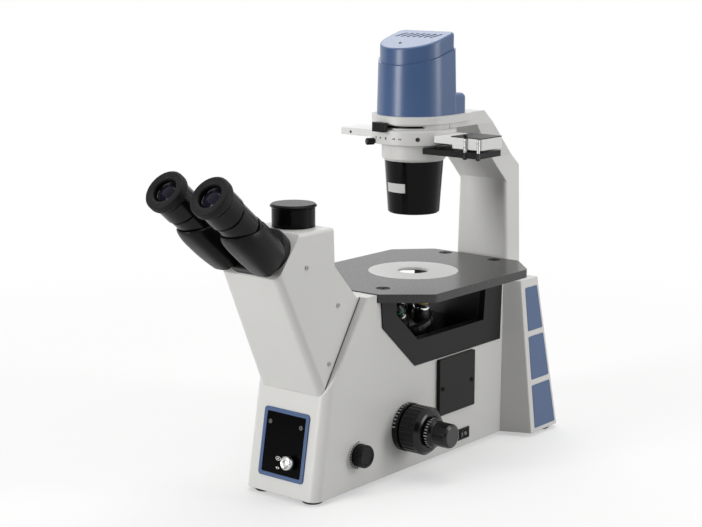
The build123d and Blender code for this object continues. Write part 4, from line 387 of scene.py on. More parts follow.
louvre_tree, asked = geometry_tree("rear_louvres", {
    "Count": "Int", "Pitch": "Float", "Length": "Float", "Depth": "Float", "Finish": "Material"})
pitch = asked["Pitch"]
rise = pitch.node("GeometryNodeInputIndex", {}, {}) * pitch
row = pitch.node("GeometryNodePoints", {}, {
    "Count": asked["Count"], "Position": pitch.node("ShaderNodeCombineXYZ", {}, {"Y": rise})})
hood = pitch.node("GeometryNodeMeshCylinder", {}, {
    "Vertices": 12, "Radius": asked["Depth"], "Depth": asked["Length"]})
quarter = (0.0, math.pi / 2, 0.0)
hood = pitch.node("GeometryNodeTransform", {}, {"Geometry": hood, "Rotation": quarter})
close_tree(pitch.node("GeometryNodeInstanceOnPoints", {}, {"Points": row, "Instance": hood}),
           asked["Finish"])
louvre_foot = 108.0
louvre_seat = seat(rear_face(0.0, louvre_foot), leftward, rearward)
louvre_sizes = {"Count": 9, "Pitch": 6.5, "Length": 44.0, "Depth": 1.5, "Finish": enamel}
grow("rear_louvres", louvre_tree, louvre_sizes, bpy.data.meshes.new("rear_louvres"), louvre_seat,
     "stand")


# Window frames. Die-cast rims let into the flanks round the nosepiece chamber, in a satin black
# stove enamel that the other black castings share.
satin = black_finish("satin_black", low=0.007, high=0.01, rough=0.28, gloss=0.17, edge=0.6, relief=0.16)
dress(satin, "chamber_frame_right", "chamber_frame_left", "mirror_block", "focus_guide",
      "focus_carriage")


# Front panel. A blue moulded rim holds a glossy black plate with two dull screws. The push-pull
# rod with its chromed grip chooses eyepieces or camera, with printed marks beside it.
dress(blue, "front_bezel")
panel_gloss = black_finish("panel_gloss", low=0.002, high=0.003, rough=0.1, gloss=0.04, edge=0.4)
dress(panel_gloss, "front_panel")
dress(steel, "beam_selector_rod")
satin_chrome = bare_metal("satin_chrome", fineness=240.0, detail=2.0, low=(0.52, 0.52, 0.5),
                          high=(0.74, 0.74, 0.72), rough=0.16, spread=0.2)


def printed_paint(name, low, high, rough):
    """A thin even paint: its two shades and its least roughness."""
    material, shader, place = new_finish(name)
    grain = place.noise(1500.0, 2.0)
    place.plug(shader, {
        "Base Color": place.tint(grain, low, high),
        "Roughness": rough + 0.1 * grain,
    })
    return material


mark_white = printed_paint("mark_white", low=(0.56, 0.56, 0.55), high=(0.64, 0.64, 0.63), rough=0.42)
mark_black = printed_paint("mark_black", low=(0.012, 0.012, 0.012), high=(0.02, 0.02, 0.02), rough=0.42)
ink = 0.12

front_lean = math.radians(10.2)
front_run = math.tan(front_lean)
front_foot_y = -249.0
panel_height, panel_proud = 61.5, 0.6
panel_y = front_foot_y + (panel_height - sheet_low) * front_run
forward = (0.0, -math.cos(front_lean), math.sin(front_lean))
panel_seat = seat((0.0, panel_y, panel_height), rightward, forward)
panel_face = panel_seat @ Matrix.Translation((0.0, 0.0, panel_proud))


def curve_loop(centre, half_width, half_height, power, steps):
    """A closed oval: a power under 1 is square, and over 1 is pointed."""
    loop = []
    for step in range(steps):
        turn = 2 * math.pi * step / steps
        rise = math.sin(turn)
        loop.append((centre[0] + half_width * math.cos(turn),
                     centre[1] + half_height * math.copysign(abs(rise) ** power, rise)))
    return loop


def banded(outer, inner):
    """A band between two ovals of as many points: one sheet of four-cornered loops."""
    outer_next = outer[1:] + outer[:1]
    inner_next = inner[1:] + inner[:1]
    return [[a, b, d, c] for a, b, c, d in zip(outer, outer_next, inner, inner_next)]


eye = (-6.2, -17.0)
almond, oval = 1.6, 1.0
eye_rim = banded(curve_loop(eye, 4.2, 2.5, almond, 24), curve_loop(eye, 3.3, 1.8, almond, 24))
pupil = [curve_loop(eye, 1.2, 1.2, oval, 14)]
left_arrow = [[(-8.6, -27.8), (-6.2, -26.1), (-6.2, -29.5)]]
right_arrow = [[(-5.0, -26.1), (-5.0, -29.5), (-2.6, -27.8)]]
prism("panel_marks", [eye_rim, pupil, left_arrow, right_arrow], ink, panel_face, mark_white,
      "stand")


def lathe(name, profile, place, finish, body, steps=48):
    """A turned piece from (radius, height) points in order, closed where they meet the axis."""
    draft = bmesh.new()
    points = [draft.verts.new((radius, 0.0, height)) for radius, height in profile]
    lines = [draft.edges.new(pair) for pair in zip(points, points[1:])]
    bmesh.ops.spin(draft, geom=points + lines, cent=(0.0, 0.0, 0.0), axis=(0.0, 0.0, 1.0),
                   angle=2 * math.pi, steps=steps)
    bmesh.ops.remove_doubles(draft, verts=draft.verts, dist=0.0005)
    return cast(name, draft, place, finish, body)


selector_x, selector_height = 13.7, 43.6
selector_drop = (selector_height - panel_height) / math.cos(front_lean)
selector_seat = panel_seat @ Matrix.Translation((selector_x, selector_drop, 0.0))
grip = [
    (0.0, 11.65), (6.1, 11.65), (6.1, 4.9), (7.5, 4.9), (8.0, 5.4), (8.0, 10.4), (7.4, 11.4),
    (6.3, 12.0), (5.6, 12.05), (5.2, 11.85), (3.2, 11.8), (2.8, 12.0), (0.0, 12.1)]
lathe("selector_grip", grip, selector_seat, satin_chrome, "beam_selector")


# Right flank. A flat cover with two screws closes the filter bay. The snap-in rocker switch has
# the usual bar and ring on its two halves, and the lamp's knob turns over a printed scale.
dress(satin, "access_door")
switch_black = black_finish("switch_black", low=0.005, high=0.008, rough=0.24, gloss=0.15, edge=0.4)
dress(switch_black, "switch_frame", "power_rocker", "brightness_knob")
dress(enamel, "brightness_dial")

flank = 54.0
switch_y, switch_z = 32.3, 21.3
switch_length, switch_rim, switch_proud = 25.0, 1.4, 1.6
rocker_rise, rocker_relief, rocker_ink = 1.6, 1.8, 0.1
rocker_run = switch_length / 2 - 3 * switch_rim - rocker_relief
slope = math.atan2(rocker_rise, rocker_run)
middle = (0.0, 0.0)
bar_mark = [[(-0.45, -1.9), (0.45, -1.9), (0.45, 1.9), (-0.45, 1.9)]]
ring_mark = banded(curve_loop(middle, 1.5, 1.9, oval, 20), curve_loop(middle, 0.9, 1.3, oval, 20))
for name, side, mark in (("rocker_bar", -1.0, bar_mark), ("rocker_ring", 1.0, ring_mark)):
    lean = (math.cos(slope), -side * math.sin(slope), 0.0)
    lengthwise = (side * math.sin(slope), math.cos(slope), 0.0)
    spot = (flank + switch_proud + rocker_rise / 2, switch_y + side * rocker_run / 2, switch_z)
    prism(name, [mark], rocker_ink, seat(spot, lengthwise, lean), mark_white, "power_rocker")

ring_tree, asked = geometry_tree("ring_marks", {
    "Count": "Int", "Radius": "Float", "First angle": "Float", "Last angle": "Float",
    "Radial": "Float", "Around": "Float", "Along": "Float", "Every": "Int", "Long radial": "Float",
    "Long along": "Float", "Finish": "Material"})
count = asked["Count"]
number = count.node("GeometryNodeInputIndex", {}, {})
sweep = asked["Last angle"] - asked["First angle"]
angle = asked["First angle"] + sweep * number / count.maths("MAXIMUM", count - 1.0, 1.0)
reach = asked["Radius"] + asked["Radial"] * 0.5
spot = count.node("ShaderNodeCombineXYZ", {}, {
    "X": reach * count.maths("COSINE", angle, 0.0), "Y": reach * count.maths("SINE", angle, 0.0)})
size = count.node("ShaderNodeCombineXYZ", {}, {
    "X": asked["Radial"], "Y": asked["Around"], "Z": asked["Along"]})
main = count.maths("LESS_THAN", count.maths("MODULO", number, asked["Every"]), 0.5)
scale = count.node("ShaderNodeCombineXYZ", {}, {
    "X": 1.0 + main * (asked["Long radial"] - 1.0), "Y": 1.0,
    "Z": 1.0 + main * (asked["Long along"] - 1.0)})
turn = count.node("FunctionNodeEulerToRotation", {}, {
    "Euler": count.node("ShaderNodeCombineXYZ", {}, {"Z": angle})})
close_tree(count.node("GeometryNodeInstanceOnPoints", {}, {
    "Points": count.node("GeometryNodePoints", {}, {"Count": count, "Position": spot}),
    "Instance": count.node("GeometryNodeMeshCube", {}, {"Size": size}),
    "Rotation": turn, "Scale": scale}), asked["Finish"])


def ring_marks(name, place, finish, body, count, radius, first, last, radial, around, along,
               every=1, long_radial=1.0, long_along=1.0):
    """Printed marks round a ring between two angles in degrees, with every so many of them longer."""
    sizes = {
        "Count": count, "Radius": radius,
        "First angle": math.radians(first), "Last angle": math.radians(last),
        "Radial": radial, "Around": around, "Along": along,
        "Every": every, "Long radial": long_radial, "Long along": long_along,
        "Finish": finish,
    }
    return grow(name, ring_tree, sizes, bpy.data.meshes.new(name), place, body)


dial_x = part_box("brightness_dial")[1].x / MM
dial_y, dial_z = -174.0, 44.5
dial_first, dial_last = 88.0, 264.0
dial_seat = seat((dial_x, dial_y, dial_z), backward, rightward)
ring_marks("dial_marks", dial_seat, mark_black, "stand", count=15, radius=14.9,
           first=dial_first, last=dial_last, radial=1.4, around=1.5, along=0.2, every=7, long_radial=1.25)
ring_marks("dial_arc", dial_seat, mark_black, "stand", count=72, radius=14.1,
           first=dial_first, last=dial_last, radial=0.6, around=0.75, along=0.2)


# Fixing screws. Black socket screws hold the access cover and the stage. Those of the head are
# sprayed with it, and the two of the front panel are plated and dull.
screw_mixed, shader, place = new_finish("screw_mixed")
grain = place.noise(1100.0, 2.0)
sprayed = place.inside((-60.0, 60.0), (-300.0, -150.0), (130.0, 300.0))
plated = place.inside((-40.0, 40.0), (-300.0, -200.0), (40.0, 120.0))
screw_colour = place.tint(sprayed, (0.01, 0.01, 0.0105), (0.5, 0.5, 0.485))
place.plug(shader, {
    "Base Color": place.tint(plated, screw_colour, (0.1, 0.1, 0.1)),
    "Roughness": 0.5 + 0.14 * grain,
    "Specular IOR Level": 0.12,
    "Metallic": plated * 0.9,
})
dress(screw_mixed, "fixing_screws")


# Stage. A thick aluminium plate with cut corners, ground and black anodised, with a satin insert
# dropped in flush over the objective.
anodised, shader, place = new_finish("stage_anodised")
lay = place.noise(700.0, 2.0)
place.plug(shader, {
    "Base Color": place.tint(lay, (0.02, 0.02, 0.02), (0.028, 0.028, 0.028)),
    "Roughness": 0.2 + 0.12 * lay,
    "Normal": place.bump(lay, 0.04, 0.0002, 0.7),
})
dress(anodised, "stage_plate")

insert_white, shader, place = new_finish("insert_white")
lay = place.noise(700.0, 2.0)
place.plug(shader, {
    "Base Color": place.tint(lay, (0.6, 0.6, 0.59), (0.66, 0.66, 0.65)),
    "Roughness": 0.12 + 0.1 * lay,
})
dress(insert_white, "stage_insert")


# Focus drive. Moulded black knobs with deep grips on ground steel shafts. White lines on the drag
# ring and fine lines on the collar of the fine knob show how far they turn.
dress(steel, "coarse_shaft", "fine_shaft")
knob_black = black_finish("knob_black", low=0.004, high=0.007, rough=0.12, gloss=0.32, edge=0.5)
dress(knob_black, "coarse_knob_right", "coarse_knob_left", "tension_ring")
fine_black, shader, place = new_finish("fine_black")
skin = place.noise(700.0, 3.0)
# The flat end face of each fine knob is painted a lighter grey: a painted sheen for the light that falls
# on that face.
tip_low, tip_high = 121.2, 122.0
lit_knob_end = place.along(0).between(tip_low, tip_high) + place.along(0).between(-tip_high, -tip_low)
place.plug(shader, {
    "Base Color": place.tint(lit_knob_end, (0.006, 0.006, 0.0063), (0.045, 0.045, 0.046)),
    "Roughness": 0.14 + 0.12 * skin,
    "Specular IOR Level": 0.32,
    "Normal": place.bump(skin, 0.04, 0.0003, 0.5),
})
dress(fine_black, "fine_knob_right", "fine_knob_left")

focus_y, focus_z = -82.0, 57.0
drag_middle = 2.4
drag_seat = seat((flank + drag_middle, focus_y, focus_z), backward, rightward)
ring_marks("drag_marks", drag_seat, mark_white, "tension_ring", count=9, radius=28.95,
           first=96.0, last=168.0, radial=ink, around=1.3, along=3.2, every=4, long_along=1.35)
drag_width, knob_width, knob_recess, running_gap = 8.0, 28.0, 3.0, 0.3
scale_middle = 7.0
collar_x = flank + drag_width + running_gap + knob_width - knob_recess + running_gap + scale_middle
for name, side in (("right", 1.0), ("left", -1.0)):
    collar = seat((side * collar_x, focus_y, focus_z), (0.0, side, 0.0), (side, 0.0, 0.0))
    ring_marks("fine_scale_" + name, collar, mark_white, "fine_drive", count=30,
               radius=17.46, first=0.0, last=348.0, radial=ink, around=0.7, along=3.4, every=5,
               long_along=1.5)


# Nosepiece. A black turret with a knurled rim on its tilted seat. The objectives are black too,
# each with a chromed collar and one painted ring in the usual colour of its power.
turret_black = black_finish("turret_black", low=0.006, high=0.01, rough=0.16, gloss=0.4, edge=0.4)
dress(turret_black, "turret", "nosepiece_mount")
chrome = bare_metal("objective_chrome", fineness=900.0, detail=2.0, low=(0.78, 0.78, 0.77),
                    high=(0.86, 0.86, 0.85), rough=0.08, spread=0.12)
objective_black = black_finish("objective_black", low=0.007, high=0.012, rough=0.16, gloss=0.4, edge=0.4)
dress(objective_black, "objectives")

turret_tilt = math.radians(15.0)
turret_seats, seat_radius, seat_height = 5, 25.9, 180.0
turret_axis = Vector((0.0, -math.sin(turret_tilt), math.cos(turret_tilt)))
seat_reach = Vector((0.0, seat_radius * math.cos(turret_tilt), seat_radius * math.sin(turret_tilt)))
turret_middle = Vector((0.0, 0.0, seat_height)) - seat_reach

# Each objective: the name of its colour, its share of the room under the stage, and its paint
stage_room = 36.0
objective_rows = (
    ("red", 0.722, (0.3, 0.02, 0.02)), ("yellow", 0.833, (0.3, 0.2, 0.02)),
    ("green", 0.917, (0.02, 0.13, 0.04)), ("sky", 0.944, (0.05, 0.2, 0.34)))


def band_profile(length, inner, outer, ease, low, high):
    """A thin band round an objective: two radii, its eased edge, and its ends as shares of the length."""
    ease_share = 0.01
    outline = ((inner, low), (outer - ease, low), (outer, low + ease_share), (outer, high - ease_share),
               (outer - ease, high), (inner, high), (inner, low))
    return [(radius, share * length) for radius, share in outline]


for number, (colour_name, share, shade) in enumerate(objective_rows):
    length = stage_room * share
    turn = Matrix.Rotation(-2 * math.pi / turret_seats * number, 3, turret_axis)
    foot = turret_middle + turn @ seat_reach
    objective = seat(foot, turn @ Vector(rightward), turn @ Vector(upward))
    collar = band_profile(length, inner=9.0, outer=10.3, ease=0.06, low=0.44, high=0.53)
    lathe("objective_collar_" + colour_name, collar, objective, chrome, "turret")
    lighter = [1.12 * part for part in shade]
    paint = printed_paint("ring_" + colour_name, low=shade, high=lighter, rough=0.3)
    band = band_profile(length, inner=8.0, outer=8.9, ease=0.04, low=0.68, high=0.77)
    lathe("objective_ring_" + colour_name, band, objective, paint, "turret")


# Head joint. A thin black strip up both flanks, where the two castings are bolted together, is
# painted shade for the narrow gap between the head and the stand.
seam_height = 122.5
seam_run = math.tan(math.radians(34.5))
seam_foot_y = front_foot_y + (seam_height - sheet_low) * front_run
head_half, head_top_half, head_top = 47.5, 41.5, 310.0
head_draw = (head_half - head_top_half) / (head_top - seam_height)
seam_shade_proud, seam_shade_inner = 0.25, 44.0
seam_shade_front, seam_shade_rear = -1.4, 0.4
seam_shade_low, seam_shade_high = 131.0, 224.6


def tube(draft, rings):
    """Joins closed rings of points, each to the next one, and closes both ends."""
    grid = [[draft.verts.new(point) for point in ring] for ring in rings]
    for lower, upper in zip(grid, grid[1:]):
        lower_next = lower[1:] + lower[:1]
        upper_next = upper[1:] + upper[:1]
        for corners in zip(lower, lower_next, upper_next, upper):
            draft.faces.new(corners)
    draft.faces.new(grid[0])
    draft.faces.new(grid[-1])


# A dark strip on each flank: painted shade in the seam between the head and the stand.
draft = bmesh.new()
for side in (-1.0, 1.0):
    ends = []
    for z in (seam_shade_low, seam_shade_high):
        y = seam_foot_y + (z - seam_height) * seam_run
        outer = head_half - (z - seam_height) * head_draw + seam_shade_proud
        corners = ((outer, seam_shade_front), (outer, seam_shade_rear), (seam_shade_inner, seam_shade_rear),
                   (seam_shade_inner, seam_shade_front))
        ends.append([(side * x, y + gap, z) for x, gap in corners])
    tube(draft, ends)
cast("head_seam_shade", draft, table_seat, rubber, "stand")


# Camera port. A turned black tube on top of the head, with a deep black dust cap over it that a
# small grub screw keeps on.
deep = black_finish("deep_black", low=0.0025, high=0.0045, rough=0.2, gloss=0.1, edge=0.5)
dress(deep, "camera_port", "camera_port_cap")
port_y, cap_radius, grub_height = -220.6, 24.3, 329.5
grub_turn = math.radians(4.4)
grub_out = (math.cos(grub_turn), math.sin(grub_turn), 0.0)
grub_spot = (cap_radius * grub_out[0], port_y + cap_radius * grub_out[1], grub_height)
grub_head = (1.7, 0.5)
socket_screws("cap_grub_screw", [(grub_spot, grub_out)], grub_head, satin, "port_cap")


# Binocular tube. Two die-cast prism housings swing on one hinge. They swell below the eyepieces
# and are rounded all over, finished in a fine-grained black like the seat behind them.
housing_black = black_finish("housing_black", low=0.004, high=0.0065, rough=0.24, gloss=0.14, edge=0.5,
                             relief=0.35)
dress(housing_black, "binocular_base", "diopter_ring_right", "diopter_ring_left")
barrel_black = black_finish("barrel_black", low=0.003, high=0.005, rough=0.14, gloss=0.18, edge=0.4)
dress(barrel_black, "eyepiece_right", "eyepiece_left")

eye_half = 32.5
eye_tilt = math.radians(40.0)
eyeward = (0.0, -math.cos(eye_tilt), math.sin(eye_tilt))
eye_foot_y, eye_foot_z = -282.83, 279.81


def eye_seat(side):
    """The foot of an eyepiece's axis on the tilted seat of the tube."""
    return seat((side * eye_half, eye_foot_y, eye_foot_z), rightward, eyeward)


# Each row of the housing: height over the seat, then its reach outward, inward, up and down
arm_low, nose_low = 12.3, 54.0
housing_rows = (
    (arm_low, 14.5, 18.8, 16.5, 22.6), (13.2, 15.8, 19.6, 18.0, 23.6), (18.0, 17.2, 20.0, 19.4, 24.0),
    (26.0, 19.0, 20.3, 20.2, 24.5), (36.0, 20.5, 20.5, 20.7, 24.9), (46.0, 21.4, 20.7, 20.9, 25.1),
    (nose_low, 21.7, 20.8, 21.0, 25.0))
# Each row of the nose: its share of the slanted front, then the same four
nose_rows = (
    (0.25, 21.8, 20.8, 21.1, 24.9), (0.5, 21.8, 20.8, 21.1, 24.3), (0.72, 21.7, 20.8, 21.1, 23.4),
    (0.88, 21.5, 20.8, 21.0, 22.5), (0.97, 21.2, 20.8, 20.9, 21.7), (1.0, 20.75, 20.7, 20.7, 20.9))
inner_square, outer_square = 1.9, 0.8
round_reach, square_run = 20.9, 3.0
nose_middle, upper_slant, lower_slant = 17.0, 14.9, 15.0


def housing_point(turn, reaches):
    """A point of the housing's rounded section at an angle about the eyepiece's axis."""
    across, rise = math.cos(turn), math.sin(turn)
    outward, inward, up, below = reaches
    wide = outward if across > 0 else inward
    high = up if rise > 0 else below
    square = inner_square if across < 0 else outer_square
    fullness = min(1.0, max(0.0, below - round_reach) / square_run)
    bulge = 2.0 if rise > 0 else 2.0 + square * fullness
    stretch = (abs(across / wide) ** bulge + abs(rise / high) ** bulge) ** (-1.0 / bulge)
    return across * stretch, rise * stretch


def nose_height(turn, share):
    """The slanted front of the housing: short over the eyepiece and long under it."""
    slant = lower_slant if math.sin(turn) < 0 else upper_slant
    return nose_low + share * (nose_middle - slant * math.sin(turn))


around = 48
turns = [2 * math.pi * step / around for step in range(around)]


def circle(centre, radius, height):
    """A level ring of points round a centre."""
    return [(centre[0] + radius * math.cos(turn), centre[1] + radius * math.sin(turn), height)
            for turn in turns]


socket_radius, socket_floor, socket_lip = 20.55, 55.9, 0.985
neck_radius, neck_top = 17.0, 69.0
light_radius, light_floor = 13.6, 30.0
bores = ((socket_radius, socket_floor), (neck_radius, socket_floor), (neck_radius, neck_top),
         (light_radius, neck_top), (light_radius, light_floor))
housing_rings = [[(*housing_point(turn, reaches), height) for turn in turns]
                 for height, *reaches in housing_rows]
housing_rings += [[(*housing_point(turn, reaches), nose_height(turn, share)) for turn in turns]
                  for share, *reaches in nose_rows]
housing_rings.append([(socket_radius * math.cos(turn), socket_radius * math.sin(turn),
                       nose_height(turn, socket_lip)) for turn in turns])
housing_rings += [circle((0.0, 0.0), radius, height) for radius, height in bores]

hinge = Vector((-eye_half, 18.71))
hub_radius, hub_thick, hub_gap = 16.5, 12.0, 0.3
web_long, web_half, web_inset = 26.0, 10.0, 0.2
lengthwise = -hinge.normalized() * web_long
sideways = Vector((-lengthwise.y, lengthwise.x)).normalized() * web_half
web_end = hinge + lengthwise
web_plan = (hinge - sideways, web_end - sideways, web_end + sideways, hinge + sideways)
ring_height = 61.0
for name, side, order in (("right", 1.0, 1), ("left", -1.0, 0)):
    hub_low = arm_low + order * (hub_thick + hub_gap)
    hub_high = hub_low + hub_thick
    hub_rings = [circle(hinge, hub_radius, height) for height in (hub_low, hub_high)]
    web_rings = [[(corner.x, corner.y, height) for corner in web_plan]
                 for height in (hub_low + web_inset, hub_high - web_inset)]
    draft = bmesh.new()
    for rings in (housing_rings, hub_rings, web_rings):
        tube(draft, [[(side * x, y, z) for x, y, z in ring] for ring in rings])
    housing = cast("prism_housing_" + name, draft, eye_seat(side), housing_black, "arm_" + name)
    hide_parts("binocular_arm_" + name)

    ring_seat = eye_seat(side) @ Matrix.Translation((0.0, 0.0, ring_height))
    ring_marks("diopter_marks_" + name, ring_seat, mark_white, "diopter_" + name, count=9,
               radius=20.15, first=30.0, last=150.0, radial=ink, around=0.5, along=2.4, every=4,
               long_along=1.5)


# Eyecups and eye lenses. Soft moulded rubber collars with a rounded mouth and two shallow rings in
# the face. Behind the mouth sits a coated lens in its black retaining ring.
lens_dark, shader, place = new_finish("coated_lens")
bloom = place.noise(30.0, 1.0)
place.plug(shader, {
    "Base Color": place.tint(bloom, (0.006, 0.006, 0.011), (0.012, 0.009, 0.02)),
    "Roughness": 0.03 + 0.02 * bloom,
    "Specular IOR Level": 0.09,
})
keeper_gloss = black_finish("keeper_gloss", low=0.004, high=0.006, rough=0.06, gloss=0.6, edge=0.0)
cup_low, cup_high, cup_steps = 123.8, 136.8, 64
cup_profile = [
    (15.05, cup_low), (20.0, cup_low), (22.4, cup_low + 1.3), (23.6, cup_low + 3.0),
    (24.0, cup_low + 4.4), (24.0, cup_high - 3.4), (23.7, cup_high - 1.8), (22.8, cup_high - 0.6),
    (21.4, cup_high), (20.2, cup_high - 0.1), (19.7, cup_high - 0.55), (19.2, cup_high - 0.15),
    (17.6, cup_high - 0.3), (17.1, cup_high - 0.75), (16.6, cup_high - 0.45), (15.4, cup_high - 0.8),
    (14.5, cup_high - 1.6), (14.0, cup_high - 2.8), (14.0, cup_high - 4.4), (14.6, cup_high - 5.6),
    (15.05, cup_high - 6.8), (15.05, cup_low)]
lens_height, lens_radius = 130.0, 12.2
lens_back, dome_foot = lens_height - 3.0, lens_height - 0.9
dome_bulge, dome_turn, dome_steps = 5.0, 1.2, 12
dome_turns = [dome_turn * step / dome_steps for step in range(dome_steps + 1)]
dome = [(lens_radius * math.sin(turn), dome_foot + dome_bulge * (math.cos(turn) - math.cos(dome_turn)))
        for turn in dome_turns]
lens_profile = [(0.0, lens_back), (dome[-1][0], lens_back)] + dome[::-1]
keeper = [
    (11.3, lens_height - 2.0), (13.0, lens_height - 2.0), (13.0, lens_height + 0.2),
    (12.4, lens_height + 0.5), (11.6, lens_height - 0.4), (11.3, lens_height - 2.0)]
for name, side in (("right", 1.0), ("left", -1.0)):
    ocular = "ocular_" + name
    cup = lathe("rubber_cup_" + name, cup_profile, eye_seat(side), rubber, ocular, cup_steps)
    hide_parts("eyecup_" + name)
    lens = lathe("eye_glass_" + name, lens_profile, eye_seat(side), lens_dark, ocular, cup_steps)
    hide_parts("eye_lens_" + name)
    lathe("lens_keeper_" + name, keeper, eye_seat(side), keeper_gloss, ocular, cup_steps)


# Condenser. The graduated ring under the lamp arm carries the aperture lever, a clamping screw and
# printed marks. Below it hang the collar and a deep black cone with a bare pale plate on its front.
dress(satin, "aperture_lever", "clamp_screw", "phase_ring")
cone_black = black_finish("cone_black", low=0.0012, high=0.002, rough=0.1, gloss=0.12, edge=0.5)
dress(cone_black, "condenser_cone")
mark_height, mark_radius, holder_radius = 392.0, 50.95, 50.9
mark_seat = seat((0.0, 0.0, mark_height), rightward, upward)
# Each row of marks: its name and count, its first and last angle, and the width and height of a mark
mark_rows = (
    ("aperture_marks", 3, -115.3, -94.1, 2.0, 2.4),
    ("range_marks", 2, -81.8, -73.1, 2.4, 1.0),
    ("turn_marks", 2, -79.6, -71.0, 0.8, 2.2))
for name, marks, first, last, mark_wide, mark_tall in mark_rows:
    ring_marks(name, mark_seat, mark_black, "stand", count=marks, radius=mark_radius,
               first=first, last=last, radial=ink, around=mark_wide, along=mark_tall, every=2,
               long_along=1.25)
centring_turn = math.radians(-48.2)
centring_out = (math.cos(centring_turn), math.sin(centring_turn), 0.0)
centring_spot = (holder_radius * centring_out[0], holder_radius * centring_out[1], mark_height)
centring_head = (2.7, 0.5)
socket_screws("centring_screw", [(centring_spot, centring_out)], centring_head, mark_black, "stand")

cone_top, cone_run = 363.0, 62.5
cone_top_radius, cone_foot_radius = 35.6, 31.3
plate_low, plate_high, plate_gap, plate_face = 325.5, 336.5, 0.05, 0.5
plate_first, plate_sweep, plate_steps = -119.0, 48.0, 12
plate_section = []
for depth, z in ((plate_gap, plate_low), (plate_face, plate_low), (plate_face, plate_high),
                 (plate_gap, plate_high)):
    draw = (cone_top_radius - cone_foot_radius) * (cone_top - z) / cone_run
    plate_section.append((cone_top_radius - draw + depth, z))
plate_turns = [math.radians(plate_first + plate_sweep * step / plate_steps)
               for step in range(plate_steps + 1)]
draft = bmesh.new()
tube(draft, [[(radius * math.cos(turn), radius * math.sin(turn), z) for radius, z in plate_section]
             for turn in plate_turns])
cast("cone_plate", draft, table_seat, mark_white, "stand")


# Phase slider. A white moulded bar through the holder, with a dark spot near its far end and a thin
# dark sheet on its grip that is painted shade from the lamp arm above. It runs on a black tray behind
# two bright pins, one of them with a dark head, whose parts below the tray are painted black as shade.
white, shader, place = new_finish("slider_white")
grain = place.noise(1200.0, 2.0)
dimple_radius = 1.8
dimple = (-81.0 * MM, axis_y - 21.7 * MM, 391.8 * MM)
away = place.node("ShaderNodeVectorMath", {"operation": "DISTANCE"}, {0: place, 1: dimple}, 1)
dot = place.maths("LESS_THAN", away, dimple_radius * MM)
moulded = place.tint(grain, (0.74, 0.74, 0.73), (0.8, 0.8, 0.79))
place.plug(shader, {
    "Base Color": place.tint(dot, moulded, (0.01, 0.01, 0.01)),
    "Roughness": 0.32 + 0.1 * grain,
    "Normal": place.bump(grain, 0.05, 0.0002, 0.6),
})
dress(white, "phase_slider")
dress(satin, "slider_tray")

pin_steel, shader, place = new_finish("pin_steel")
lay = place.noise(900.0, 2.0)
# Below the tray top the pins are plain black with no metal: painted shade under the tray. Steel shows
# only above it.
unshaded_low, unshaded_high = 380.6, 420.0
bare = place.along(2).between(unshaded_low, unshaded_high)
place.plug(shader, {
    "Base Color": place.tint(bare, (0.008, 0.008, 0.0085), (0.6, 0.6, 0.59)),
    "Roughness": 0.16 + 0.14 * lay,
    "Metallic": bare,
})
dress(pin_steel, "tray_pins")

# A thin dark sheet laid on the top of the grip is painted shade from the lamp arm above.
slider_top, shade_thick = 396.5, 1.1
shade_plan = [(70.0, -21.3), (112.0, -21.3), (113.2, -20.1), (113.2, 20.1), (112.0, 21.3), (70.0, 21.3)]
prism("slider_top_shade", [[shade_plan]], shade_thick, seat((0.0, 0.0, slider_top), rightward, upward), satin,
      "phase_slider")
pin_x, pin_y, pin_head_lift, pin_steps = 92.1, -23.9, 1.3, 24
pin_head = [(0.0, 0.0), (1.9, 0.0), (2.6, 0.6), (2.6, 2.4), (2.0, 3.4), (0.0, 3.6)]
pin_neck = [(0.0, -0.4), (1.85, -0.4), (1.85, 1.4), (0.0, 1.4)]
lathe("pin_head", pin_head, seat((pin_x, pin_y, slider_top + pin_head_lift), rightward, upward), satin,
      "stand", pin_steps)
lathe("pin_neck", pin_neck, seat((pin_x, pin_y, slider_top), rightward, upward), satin,
      "stand", pin_steps)
tray_top = 380.4
tray_head = (2.2, 1.3)
tray_spots = [((46.0, y, tray_top), upward) for y in (-19.5, 19.5)]
socket_screws("tray_screws", tray_spots, tray_head, satin, "stand")


# Lamp house. Two blue mouldings over the finned lamp unit, with slanted vents in the sloping top
# and one dark screw in front of them.
dress(blue, "lamp_housing", "lamp_cap")
dress(satin, "lamp")
lamp_slope = math.radians(15.0)
cap_up = (0.0, -math.sin(lamp_slope), math.cos(lamp_slope))
cap_spot = (-5.5, -21.5, 502.6)
cap_head = (2.2, 0.6)
socket_screws("lamp_cap_screw", [(cap_spot, cap_up)], cap_head, mark_black, "stand")


# Lenses. Ground and polished glass with a faint coating, each held in its own bore: the front lens
# in the mouth of the condenser, the collector under the lamp and the tube lens over the mirror.
glass, shader, place = new_finish("lens_glass")
place.plug(shader, {
    "Base Color": (0.95, 0.97, 0.96, 1.0),
    "Roughness": 0.02,
    "Transmission Weight": 1.0,
    "IOR": 1.5,
    "Coat Weight": 0.5,
})
dress(glass, "lenses")


# Studio. A pale floor that runs out into white, two tall strip lights, an overhead box and a box
# behind on the left. A dark wall behind the camera, which no camera ray sees, keeps blacks deep.
def looking_rays(tree):
    """One where a camera, mirror or glass ray looks, and nought for the light that falls."""
    rays = tree.nodes.new("ShaderNodeLightPath")
    seen = Wire(tree, rays.outputs["Is Camera Ray"])
    seen = seen.maths("MAXIMUM", seen, Wire(tree, rays.outputs["Is Glossy Ray"]))
    return seen.maths("MAXIMUM", seen, Wire(tree, rays.outputs["Is Transmission Ray"]))


def stage_quad(name, corners, material):
    """A flat sheet of the studio, which isn't part of the object."""
    mesh = bpy.data.meshes.new(name)
    mesh.from_pydata(corners, [], [(0, 1, 2, 3)])
    mesh.materials.append(material)
    sheet = new_piece(name, mesh)
    return sheet


